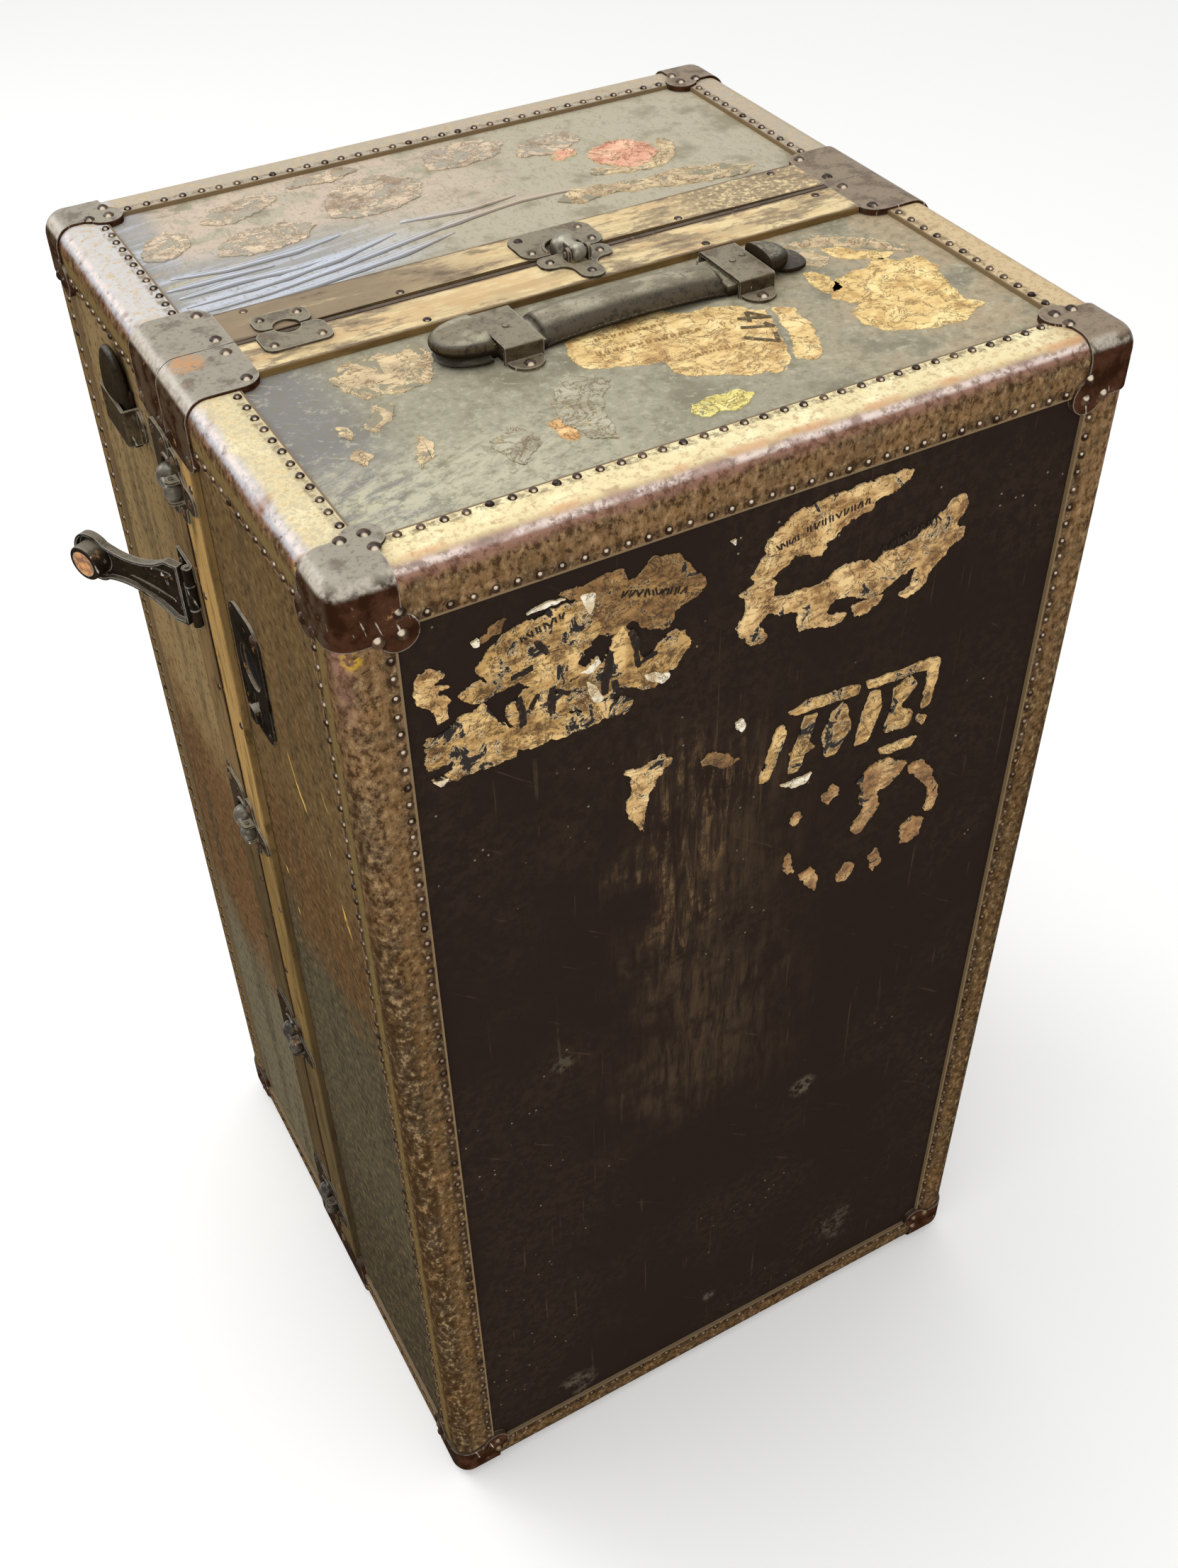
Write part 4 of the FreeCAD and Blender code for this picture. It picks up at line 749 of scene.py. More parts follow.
@dataclass(frozen=True)
class OldSteel:
    """Painted or bare steel gone brown, lighter on faces that look up as painted reflection, with bright
    edges that are partly rubbed bare and partly painted highlight, and a little rust.
    """

    name: str
    # Painted reflection: the lighter tone of faces that look up.
    top: Tone = tone(154, 146, 130)
    top_right: Tone = tone(142, 124, 102)
    face: Tone = tone(72, 46, 32)
    face_dark: Tone = tone(46, 26, 15)
    side: Tone = tone(74, 60, 46)
    side_low: Tone = tone(48, 39, 30)
    # Bare metal in scratches and on edges, also used as painted highlight on the edges.
    bright: Tone = tone(196, 187, 172)
    rust: Tone = tone(190, 142, 98)
    metallic: float = 0.0
    roughness: float = 0.34
    worn_and_highlight_edge: float = 7 * MM
    bare_and_highlight_edge: float = 0.6
    edge_radius: float = 1.2 * MM
    left_share: float = 0.0
    rust_spot: Spot = (-0.258, -0.004, 1.02)
    rust_reach: float = 15 * MM

    def material(self, planes: Planes) -> bpy.types.Material:
        """Make the steel, with its tone by the way each place faces: the lighter tone on top is painted
        reflection.
        """
        graph = ShaderGraph(self.name, metallic=self.metallic, specular=0.5, side_specular=0.0)
        patch = graph.noise(60.0, 5.0, 0.65, shift=2.9)
        fine = graph.noise(300.0, 3.0, 0.6, shift=6.2)
        face = graph.blotches(patch, 0.38, (self.face_dark, self.face), 0.22)
        nick = graph.noise(330.0, 2.0, 0.5, shift=3.7, stretch=(1.0, 1.0, 0.10), turn=(0.0, 0.25, 0.0))
        left = graph.step(graph.math("ABSOLUTE", graph.normal_x), 0.75, 0.95)
        side = graph.coat(self.side_low, self.side, (graph.z, 0.44, 0.6))
        face = graph.coats(face, (
            (self.bright, (nick, 0.66, 0.71), (patch, 0.44, 0.54)),
            (graph.blotches(patch, 0.42, (side, self.face_dark), 0.2), left),
        ))
        # Faces that look up take a lighter tone as painted reflection; the rust spot on them is real.
        up = graph.coats(self.top, (
            (self.top_right, (graph.x, 0.05, 0.15)),
            (self.side, (graph.z, 0.6, 0.44)),
            (self.side, (patch, 0.48, 0.64), 0.6),
            (self.side, (fine, 0.54, 0.66), 0.4),
            (self.rust, graph.spot(self.rust_spot, self.rust_reach), (fine, 0.38, 0.5)),
        ))
        colour = graph.mix(graph.up, face, up)
        edge = graph.edge_distance(planes)
        # Painted highlight, partly wear: rounded edges near the trunk's edges that slant upwards.
        slant = graph.band(graph.normal_z, 0.42, 0.88, 0.25)
        worn = graph.both(slant, (edge, self.worn_and_highlight_edge * 1.5, self.worn_and_highlight_edge),
                          graph.scaled(graph.step(fine, 0.36, 0.6), 0.4, 0.6),
                          (patch, 0.34, 0.5))
        dull = graph.scaled(graph.both(left, (graph.z, 0.6, 0.44)), -0.75, 1.0)
        # Sharp edges brightened, partly bare metal and partly painted highlight, less so low on faces that
        # look sideways.
        rubbed = graph.both(graph.convex(self.edge_radius), (patch, 0.36, 0.52), dull, self.bare_and_highlight_edge)
        rusty = graph.both((patch, 0.6, 0.7), (fine, 0.45, 0.6))
        colour = graph.coats(colour, (
            (self.bright, worn, 0.8),
            (self.bright, rubbed),
            (side, (graph.x, -0.266, -0.272), self.left_share),
            (self.rust, rusty, 0.5),
        ))
        graph.bump(patch, 0.5 * MM, 0.5)
        graph.bump(fine, 0.12 * MM, 0.5)
        return graph.finished(colour, graph.scaled(patch, 0.3, self.roughness - 0.12))


@dataclass(frozen=True)
class HandleLeather:
    """Old handle leather, grey brown, dusty on its crown with a painted highlight, dark in scuffs, and
    darkened with painted shade underneath and near the canvas.
    """

    dust: Tone = tone(126, 117, 95)
    # Painted highlight along the crown.
    crown_highlight: Tone = tone(168, 160, 136)
    body: Tone = tone(74, 64, 48)
    # Dark scuffs, and painted shade underneath and near the canvas.
    dark: Tone = tone(36, 29, 21)

    def material(self, planes: Planes) -> bpy.types.Material:
        """Make the leather, with cracked grain."""
        graph = ShaderGraph("handle_leather", specular=0.5, side_specular=0.0)
        grain = graph.specks(620.0, 0.4)
        crease = graph.noise(60.0, 5.0, 0.62, shift=1.1, stretch=(0.5, 1.0, 1.0))
        scuff = graph.noise(240.0, 4.0, 0.7, shift=5.1)
        # Faces that look up: dust, partly painted light, with a painted highlight along the creases.
        top = graph.coats(self.dust, (
            (self.crown_highlight, (crease, 0.44, 0.62)),
            (self.body, (scuff, 0.52, 0.66), 0.55),
        ))
        crown = graph.step(graph.scaled(scuff, 0.10, graph.normal_z), 0.86, 1.01)
        # Painted shade: dark where the leather faces down, body tone on its sides.
        side = graph.coats(self.dark, (
            (self.body, (graph.normal_z, -0.25, 0.25)),
            (self.dark, (scuff, 0.5, 0.62), 0.7),
        ))
        colour = graph.mix(crown, side, top)
        end = graph.both((graph.x, 0.088, 0.108), (scuff, 0.66, 0.46), 0.75)
        # Painted shade low on the leather, just above the canvas.
        low = graph.step(graph.z, planes.canvas_high.z + 8 * MM, planes.canvas_high.z + 3 * MM)
        colour = graph.coats(colour, (
            (self.dark, end),
            (self.dark, low, 0.75),
        ))
        graph.bump(grain, 0.3 * MM, 0.45)
        graph.bump(scuff, 0.5 * MM, 0.6)
        graph.bump(crease, 1.0 * MM, 0.5)
        return graph.finished(colour, graph.scaled(scuff, 0.3, 0.26))


@dataclass(frozen=True)
class TackSteel:
    """Domed tack heads, dark brown, with a painted glint on the part of each dome that faces one way,
    brighter higher up.
    """

    name: str = "tack_steel"
    dark: Tone = tone(46, 32, 24)
    light: Tone = tone(98, 76, 58)
    # Painted glint highlight, its dimmer tone low on the trunk, and the direction it faces.
    glint_highlight: Tone = tone(216, 200, 176)
    glint_highlight_low: Tone = tone(142, 120, 92)
    towards: Spot = (-0.22, -0.76, 0.61)

    def material(self, planes: Planes) -> bpy.types.Material:
        """Make the tack steel, each head a little different."""
        graph = ShaderGraph(self.name, roughness=0.35, specular=0.4, side_specular=0.0)
        change = graph.noise(75.0, 2.0, 0.5)
        colour = graph.blotches(change, 0.40, (self.dark, self.light), 0.28)
        # Painted glint: a bright spot where the dome's normal faces the towards direction, brighter higher up
        # the trunk.
        glint_facing = graph.math("MULTIPLY", graph.normal_x, self.towards[0])
        for part, share in ((graph.normal_y, self.towards[1]), (graph.normal_z, self.towards[2])):
            glint_facing = graph.scaled(part, share, glint_facing)
        glint_highlight = graph.both((glint_facing, 0.86, 0.98), (change, 0.3, 0.48))
        shine = graph.coat(self.glint_highlight_low, self.glint_highlight, (graph.z, 0.6, 0.95))
        return graph.finished(graph.mix(glint_highlight, colour, shine))


@dataclass(frozen=True)
class PlainWood:
    """Plywood and tongue wood, seen only when the trunk is open."""

    name: str
    pale: Tone = tone(196, 164, 116)
    dark: Tone = tone(150, 116, 74)
    # Painted shade round the lock's recess.
    hollow: Tone = tone(16, 13, 11)

    def material(self, planes: Planes) -> bpy.types.Material:
        """Make plain wood with long grain, and painted shade round the lock's recess."""
        graph = ShaderGraph(self.name, roughness=0.6)
        grain = graph.noise(70.0, 5.0, 0.7, stretch=(1.0, 1.0, 0.06))
        graph.bump(grain, 0.3 * MM, 0.5)
        colour = graph.blotches(grain, 0.36, (self.pale, self.dark), 0.3)
        # Painted shade in and round the lock's recess.
        hollow = graph.spot(tuple(middle("lock_plate")), LOCK_RECESS_SHADE_RADIUS)
        return graph.finished(graph.mix(hollow, colour, self.hollow))


@dataclass(frozen=True)
class LiningCloth:
    """The inner lining: plain drab cloth with small flecks, stained in places."""

    cloth: Tone = tone(176, 158, 122)
    stain: Tone = tone(162, 143, 108)
    fleck: Tone = tone(112, 92, 66)
    # Painted shade where the lock's recess shows the lining's back.
    hollow: Tone = tone(14, 11, 9)

    def material(self, planes: Planes) -> bpy.types.Material:
        """Make the lining cloth, with painted shade on its back where the lock's recess shows it."""
        graph = ShaderGraph("lining_cloth", roughness=0.85, specular=0.2)
        stain = graph.noise(6.0, 4.0, 0.6)
        thread = graph.noise(700.0, 2.0, 0.5)
        colour = graph.blotches(stain, 0.40, (self.cloth, self.stain), 0.3)
        colour = graph.coat(colour, self.fleck, (thread, 0.56, 0.66), 0.5)
        graph.bump(thread, 0.2 * MM, 0.6)
        # Painted shade: the back of the lining, inside the lock's recess.
        hollow = graph.both(graph.spot(tuple(middle("lock_plate")), LOCK_RECESS_SHADE_RADIUS),
                            (graph.normal_x, -0.5, -0.9))
        return graph.finished(graph.mix(hollow, colour, self.hollow))


@dataclass(frozen=True)
class DiscBrass:
    """The worn brass disc on the hasp, orange brown."""

    bright: Tone = tone(206, 142, 74)
    dull: Tone = tone(122, 76, 40)

    def material(self, planes: Planes) -> bpy.types.Material:
        """Make the brass."""
        graph = ShaderGraph("disc_brass", roughness=0.38, metallic=0.5)
        patch = graph.noise(160.0, 4.0, 0.6)
        graph.bump(patch, 0.3 * MM, 0.5)
        return graph.finished(graph.blotches(patch, 0.40, (self.dull, self.bright), 0.2))


@dataclass(frozen=True)
class PastedPaper:
    """Pasted paper that has worn: tan with stains, pale along its torn edge, open to the canvas in places."""

    name: str
    paper: Tone = tone(216, 182, 122)
    light: Tone = tone(240, 212, 150)
    stain: Tone = tone(164, 124, 74)
    ground: Tone = tone(150, 142, 118)
    tear: Tone = tone(236, 214, 166)
    torn: float = 0.62
    print_tone: Tone = tone(120, 88, 52)
    grain: Spot = (0.4, 1.0, 1.0)
    hole_scale: float = 55.0

    def material(self, planes: Planes) -> bpy.types.Material:
        """Make the paper, with its wear and its creases."""
        graph = ShaderGraph(self.name, roughness=0.5, specular=0.35, side_specular=0.15)
        patch = graph.noise(48.0, 5.0, 0.66, shift=3.3)
        fibre = graph.noise(210.0, 5.0, 0.72, shift=7.1, stretch=self.grain, warp=0.5)
        hole = graph.noise(self.hole_scale, 7.0, 0.72, shift=11.3, warp=0.7)
        colour = graph.blotches(patch, 0.36, (self.stain, self.paper, self.light), 0.13)
        crease = graph.away(graph.noise(62.0, 5.0, 0.7, shift=15.0, warp=0.6), 0.5)
        colour = graph.coats(colour, (
            (self.stain, (fibre, 0.5, 0.62), 0.8),
            (self.light, (fibre, 0.42, 0.34), 0.6),
            (self.print_tone, (crease, 0.02, 0.006), 0.8),
        ))
        graph.bump(graph.step(crease, 0.0, 0.03), 0.5 * MM, 0.5)
        rim = graph.attribute("rim")
        colour = graph.coats(colour, (
            (self.tear, (rim, 0.35, 0.8), (fibre, 0.42, 0.52)),
            (self.tear, (hole, self.torn - 0.025, self.torn - 0.01), 0.8),
            (self.ground, (hole, self.torn, self.torn + 0.01)),
        ))
        graph.bump(graph.step(hole, self.torn + 0.01, self.torn - 0.01), 0.5 * MM, 0.8)
        graph.bump(patch, 0.6 * MM, 0.6)
        graph.bump(fibre, 0.4 * MM, 0.7)
        return graph.finished(colour)


@dataclass(frozen=True)
class Ink:
    """Printing ink, rubbed thin."""

    name: str
    ink: Tone = tone(92, 80, 58)
    faded: Tone = tone(150, 126, 86)

    def material(self, planes: Planes) -> bpy.types.Material:
        """Make the ink."""
        graph = ShaderGraph(self.name, roughness=0.7, specular=0.2, side_specular=0.1)
        rub = graph.noise(260.0, 4.0, 0.7)
        return graph.finished(graph.blotches(rub, 0.52, (self.ink, self.faded), 0.12))


FRONT_GROUND = tone(38, 29, 24)


class Finish(Enum):
    """The finishes of the trunk, each made once."""

    CANVAS = PaintedCanvas()
    RAWHIDE = Rawhide()
    SLAT = SlatWood()
    CAP = OldSteel("cap_steel")
    HARDWARE = OldSteel("hardware_steel", top=tone(136, 126, 105), top_right=tone(128, 115, 92),
                        face=tone(84, 72, 54), face_dark=tone(52, 42, 30), side=tone(62, 52, 39),
                        bright=tone(212, 203, 182), worn_and_highlight_edge=0.5 * MM, bare_and_highlight_edge=0.5)
    LOCK = OldSteel("lock_steel", face=tone(40, 33, 26), face_dark=tone(24, 19, 15), side=tone(36, 30, 24),
                    bright=tone(150, 140, 122), worn_and_highlight_edge=0.5 * MM, bare_and_highlight_edge=0.35)
    LEVER = OldSteel("lever_steel", top=tone(176, 170, 152), top_right=tone(176, 170, 152),
                     face=tone(150, 144, 130),
                     face_dark=tone(92, 84, 72), side=tone(74, 67, 56), side_low=tone(42, 36, 28),
                     bright=tone(232, 228, 218), metallic=0.35, roughness=0.28, worn_and_highlight_edge=0.5 * MM,
                     left_share=0.72)
    HASP = OldSteel("hasp_steel", top=tone(118, 110, 94), top_right=tone(120, 112, 94), face=tone(46, 38, 28),
                    face_dark=tone(28, 23, 17), side=tone(46, 38, 28), bright=tone(214, 208, 194),
                    worn_and_highlight_edge=0.5 * MM, bare_and_highlight_edge=0.75)
    # The dark side tone is painted shade in the gap at the split.
    STRIP = OldSteel("strip_steel", top=tone(92, 76, 58), top_right=tone(92, 76, 58), side=tone(26, 21, 16),
                     bright=tone(150, 132, 108), worn_and_highlight_edge=0.5 * MM, bare_and_highlight_edge=0.0)
    LEATHER = HandleLeather()
    TACK = TackSteel()
    PLYWOOD = PlainWood("plywood")
    TONGUE = PlainWood("tongue_wood", pale=tone(150, 122, 84), dark=tone(104, 80, 52))
    LINING = LiningCloth()
    BRASS = DiscBrass()
    TAN_PAPER = PastedPaper("tan_paper", paper=tone(232, 200, 136), light=tone(248, 222, 160),
                            stain=tone(190, 152, 96), torn=0.66)
    GOLD_PAPER = PastedPaper("gold_paper", paper=tone(234, 202, 134), light=tone(250, 226, 160),
                             stain=tone(200, 160, 98), torn=0.68)
    YELLOW_PAPER = PastedPaper("yellow_paper", paper=tone(232, 218, 128), light=tone(248, 238, 160),
                               stain=tone(200, 184, 108), tear=tone(236, 226, 160), torn=0.61)
    BROWN_PAPER = PastedPaper("brown_paper", paper=tone(206, 182, 144), light=tone(228, 204, 160),
                              stain=tone(168, 146, 114), torn=0.53)
    LID_PAPER = PastedPaper("lid_paper", paper=tone(204, 184, 158), light=tone(226, 204, 172),
                            stain=tone(160, 138, 114), ground=tone(172, 163, 144), tear=tone(200, 184, 160),
                            print_tone=tone(132, 112, 90), torn=0.53, hole_scale=80.0)
    RED_PAPER = PastedPaper("red_paper", paper=tone(228, 172, 142), light=tone(244, 196, 162),
                            stain=tone(206, 138, 110), ground=tone(206, 180, 140), torn=0.60)
    AMBER_PAPER = PastedPaper("amber_paper", paper=tone(222, 172, 112), light=tone(240, 204, 146),
                              stain=tone(176, 128, 76), torn=0.60)
    GREY_PAPER = PastedPaper("grey_paper", paper=tone(172, 166, 142), light=tone(188, 182, 158),
                             stain=tone(150, 142, 118), torn=0.62)
    FRONT_PAPER = PastedPaper("front_paper", paper=tone(188, 148, 88), light=tone(228, 190, 126),
                              stain=tone(106, 74, 38), ground=FRONT_GROUND, torn=0.553,
                              tear=tone(232, 204, 156),
                              print_tone=tone(64, 46, 28))
    BAND_PAPER = PastedPaper("band_paper", paper=tone(206, 166, 108), light=tone(238, 204, 144),
                             stain=tone(136, 98, 54), ground=FRONT_GROUND, torn=0.60,
                             tear=tone(236, 210, 162),
                             print_tone=tone(70, 50, 30))
    DARK_PAPER = PastedPaper("dark_paper", paper=tone(136, 100, 56), light=tone(168, 130, 78),
                             stain=tone(88, 60, 32), ground=FRONT_GROUND, torn=0.59, tear=tone(200, 168, 120),
                             print_tone=tone(56, 40, 24))
    ORANGE_PAPER = PastedPaper("orange_paper", paper=tone(160, 116, 68), light=tone(204, 166, 110),
                               stain=tone(98, 66, 38), ground=FRONT_GROUND, torn=0.57,
                               tear=tone(196, 164, 116))
    WHITE_PAPER = PastedPaper("white_paper", paper=tone(240, 230, 206), light=tone(250, 244, 228),
                              stain=tone(206, 184, 144), ground=FRONT_GROUND, torn=0.70)
    INK = Ink("label_ink")
    FADED_INK = Ink("faded_ink", ink=tone(156, 122, 74), faded=tone(204, 168, 108))
    DARK_INK = Ink("dark_ink", ink=tone(40, 31, 25), faded=tone(70, 54, 38))


def middle(node: str) -> Vector:
    """Give the middle of a CAD node's box."""
    low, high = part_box(node)
    return (low + high) / 2


def placed(name: str, data: bpy.types.ID) -> bpy.types.Object:
    """Make an object of some data and link it to the scene."""
    made = bpy.data.objects.new(name, data)
    bpy.context.scene.collection.objects.link(made)
    return made


def baked(name: str, mesh: bmesh.types.BMesh) -> bpy.types.Mesh:
    """Turn a bmesh into mesh data, and free it."""
    data = bpy.data.meshes.new(name)
    mesh.to_mesh(data)
    mesh.free()
    return data


class Workshop:
    """Makes objects and dresses them, and keeps each material once."""

    def __init__(self, planes: Planes) -> None:
        """Start with the trunk's planes and no materials."""
        self.planes = planes
        self.made: dict[Finish, bpy.types.Material] = {}

    def finish(self, finish: Finish) -> bpy.types.Material:
        """Give the material of a finish, made at its first use."""
        if finish not in self.made:
            self.made[finish] = finish.value.material(self.planes)
        return self.made[finish]

    def piece(self, name: str, mesh: bmesh.types.BMesh, finish: Finish, body: str,
              slot: str) -> bpy.types.Object:
        """Turn a bmesh into a finished piece that rides on a body.

        Args:
            name: the piece's name.
            mesh: its mesh, in its place, which is freed.
            finish: its finish.
            body: the body that it rides on.
            slot: the name of a material slot; it is not used.

        Returns:
            The new object.
        """
        data = baked(name, mesh)
        data.materials.append(self.finish(finish))
        made = placed(name, data)
        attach(made, body)
        log.info("%s: %d faces on %s", name, len(data.polygons), body)
        return made


def shade(mesh: bmesh.types.BMesh) -> None:
    """Shade all the faces of a mesh smooth."""
    for face in mesh.faces:
        face.smooth = True


def smooth(mesh: bmesh.types.BMesh, sharp: float = math.radians(40)) -> None:
    """Shade a mesh smooth, apart from edges that turn more than an angle."""
    shade(mesh)
    for edge in mesh.edges:
        edge.smooth = len(edge.link_faces) == 2 and edge.calc_face_angle() < sharp


def join(whole: bmesh.types.BMesh, part: bmesh.types.BMesh, place: Matrix | None = None) -> None:
    """Add a mesh to another, and free it.

    Args:
        whole: the mesh that grows.
        part: the mesh that is added.
        place: where the added mesh is put, if it isn't there yet.
    """
    if place is not None:
        bmesh.ops.transform(part, matrix=place, verts=part.verts[:])
    data = baked("part", part)
    whole.from_mesh(data)
    bpy.data.meshes.remove(data)


def closed(mesh: bmesh.types.BMesh) -> bmesh.types.BMesh:
    """Merge doubles and turn every face outwards."""
    bmesh.ops.remove_doubles(mesh, verts=mesh.verts[:], dist=0.01 * MM)
    bmesh.ops.recalc_face_normals(mesh, faces=mesh.faces[:])
    return mesh


def slab(low: Vector, high: Vector, corner: float, edge: float) -> bmesh.types.BMesh:
    """Make a flat slab with round corners in plan and eased edges.

    Args:
        low: its lowest corner.
        high: its highest corner.
        corner: the radius of its corners in plan.
        edge: the radius of its edges.

    Returns:
        The slab's mesh.
    """
    mesh = bmesh.new()
    bmesh.ops.create_cube(mesh, size=1)
    bmesh.ops.scale(mesh, vec=high - low, verts=mesh.verts[:])
    bmesh.ops.translate(mesh, vec=(low + high) / 2, verts=mesh.verts[:])
    for upright, radius, segments in ((True, corner, 6), (False, edge, 3)):
        edges = [item for item in mesh.edges
                 if (abs(item.verts[0].co.z - item.verts[1].co.z) > (high.z - low.z) / 2) == upright]
        bmesh.ops.bevel(mesh, geom=edges, offset=radius, segments=segments, profile=0.5, affect="EDGES",
                        material=-1)
    return mesh


def padded_end(length: float, width: float, thickness: float) -> bmesh.types.BMesh:
    """Make a padded end: half oval towards -X in plan, with a domed edge, standing on Z = 0 from X = 0."""
    height_power, plan_power, inner_bulge = 0.72, 0.86, 0.03
    mesh = bmesh.new()
    bmesh.ops.create_uvsphere(mesh, u_segments=32, v_segments=16, radius=1)
    for vertex in mesh.verts:
        vertex.co.z = math.copysign(abs(vertex.co.z) ** height_power, vertex.co.z)
        vertex.co.y = math.copysign(abs(vertex.co.y) ** plan_power, vertex.co.y)
        if vertex.co.x > 0:
            vertex.co.x *= inner_bulge
    bmesh.ops.scale(mesh, vec=(length, width / 2, thickness / 2), verts=mesh.verts[:])
    bmesh.ops.translate(mesh, vec=(0, 0, thickness / 2), verts=mesh.verts[:])
    return mesh


def dome(mesh: bmesh.types.BMesh, place: Matrix, size: Iterable[float], segments: int, rings: int) -> None:
    """Add a ball, squashed to its half sizes along the axes of its place.

    Args:
        mesh: the mesh that takes it.
        place: its middle and its turn.
        size: its half sizes.
        segments: the number of its sides.
        rings: the number of its rows of faces.
    """
    bmesh.ops.create_uvsphere(mesh, u_segments=segments, v_segments=rings, radius=1,
                              matrix=place @ Matrix.Diagonal((*size, 1)))


def rounded(made: bpy.types.Object, levels: int) -> None:
    """Give a piece a Subdivision Surface modifier."""
    modifier = made.modifiers.new("rounded", "SUBSURF")
    modifier.levels = levels
    modifier.render_levels = levels


@dataclass(frozen=True)
class PhotoCamera:
    """The camera where the photograph was taken from, fitted to the trunk's edges."""

    place: Spot = (-0.4818, -0.9342, 1.5302)
    azimuth: float = math.radians(-28.102)
    elevation: float = math.radians(43.287)
    roll: float = math.radians(-1.362)
    focal_pixels: float = 2355.9
    long_side_pixels: int = 2212
    sensor: float = 36.0

    def build(self) -> None:
        """Make the camera and set it as the scene's."""
        level = math.cos(self.elevation)
        back = Vector((math.sin(self.azimuth) * level, -math.cos(self.azimuth) * level,
                       math.sin(self.elevation)))
        right = Vector((0, 0, 1)).cross(back).normalized()
        up = back.cross(right)
        rolled_right = right * math.cos(self.roll) + up * math.sin(self.roll)
        rolled_up = up * math.cos(self.roll) - right * math.sin(self.roll)
        data = bpy.data.cameras.new("photo_camera")
        data.sensor_fit = "AUTO"
        data.sensor_width = self.sensor
        data.lens = self.focal_pixels / self.long_side_pixels * self.sensor
        made = placed("photo_camera", data)
        axes = Matrix((rolled_right, rolled_up, back)).transposed().to_4x4()
        made.matrix_world = Matrix.Translation(self.place) @ axes
        bpy.context.scene.camera = made


@dataclass(frozen=True)
class Studio:
    """A pale floor, a white surround and soft plain lamps."""

    floor_size: float = 9.0
    floor_tone: Tone = tone(250, 250, 249)
    floor_glow: float = 0.14
    glossy_strength: float = 0.5
    world_strength: float = 0.72
    aim: Spot = (0, 0, 0.6)
    lamps: tuple[tuple[str, Spot, float, float], ...] = (
        ("lamp_above", (-0.6, 0.6, 3.4), 2.2, 30.0),
        ("lamp_front", (-1.6, -2.6, 2.0), 1.8, 14.0),
        ("lamp_behind", (-1.8, 2.6, 2.2), 1.4, 22.0), ("lamp_glint", (-0.9, -1.7, 2.6), 0.22, 5.0),
    )

    def build(self) -> None:
        """Make the floor, the world and the lamps."""
        mesh = bmesh.new()
        bmesh.ops.create_grid(mesh, x_segments=1, y_segments=1, size=self.floor_size / 2)
        floor = placed("floor", baked("floor", mesh))
        graph = ShaderGraph("floor_paint", roughness=0.9, specular=0.0)
        graph.shader.inputs["Emission Color"].default_value = self.floor_tone
        graph.shader.inputs["Emission Strength"].default_value = self.floor_glow
        floor.data.materials.append(graph.finished(self.floor_tone))
        self.surround()
        for name, place, size, power in self.lamps:
            lamp = bpy.data.lights.new(name, "AREA")
            lamp.size = size
            lamp.energy = power
            made = placed(name, lamp)
            made.location = place
            made.rotation_euler = (Vector(self.aim) - Vector(place)).to_track_quat("-Z", "Y").to_euler()

    def surround(self) -> None:
        """Make a world that is white to the camera, and softer as a light and in reflections."""
        world = bpy.data.worlds.new("surround")
        bpy.context.scene.world = world
        world.use_nodes = True
        nodes = world.node_tree.nodes
        links = world.node_tree.links
        background = nodes["Background"]
        background.inputs["Color"].default_value = (1, 1, 1, 1)
        rays = nodes.new("ShaderNodeLightPath")
        strength: Socket | float = self.world_strength
        for ray, seen in (("Is Glossy Ray", self.glossy_strength), ("Is Camera Ray", 1.0)):
            choice = nodes.new("ShaderNodeMix")
            links.new(rays.outputs[ray], choice.inputs["Factor"])
            if isinstance(strength, float):
                choice.inputs["A"].default_value = strength
            else:
                links.new(strength, choice.inputs["A"])
            choice.inputs["B"].default_value = seen
            strength = choice.outputs["Result"]
        links.new(strength, background.inputs["Strength"])


@dataclass
class CadDress:
    """Puts the right finish on every CAD node that is kept."""

    shop: Workshop
    by_word: tuple[tuple[str, Finish], ...] = (
        ("canvas", Finish.CANVAS), ("lining", Finish.LINING), ("panel", Finish.PLYWOOD),
        ("bindings", Finish.RAWHIDE), ("rivets", Finish.TACK), ("caps", Finish.CAP), ("slats", Finish.SLAT),
        ("strips", Finish.STRIP), ("tongues", Finish.TONGUE), ("screws", Finish.TACK),
        ("lever", Finish.LEVER), ("disc", Finish.BRASS), ("hasp", Finish.HASP), ("lock", Finish.LOCK),
        ("top_handle", Finish.LEATHER), ("stub", Finish.LEATHER), ("pin", Finish.LEVER),
    )

    def build(self) -> None:
        """Dress the nodes, with the plain hardware steel where no other finish is named."""
        for name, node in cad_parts.items():
            found = [finish for word, finish in self.by_word if word in name]
            finish = found[0] if found else Finish.HARDWARE
            node.data.materials.clear()
            node.data.materials.append(self.shop.finish(finish))
            for polygon in node.data.polygons:
                polygon.material_index = 0
            log.info("%s wears %s", name, finish.name)


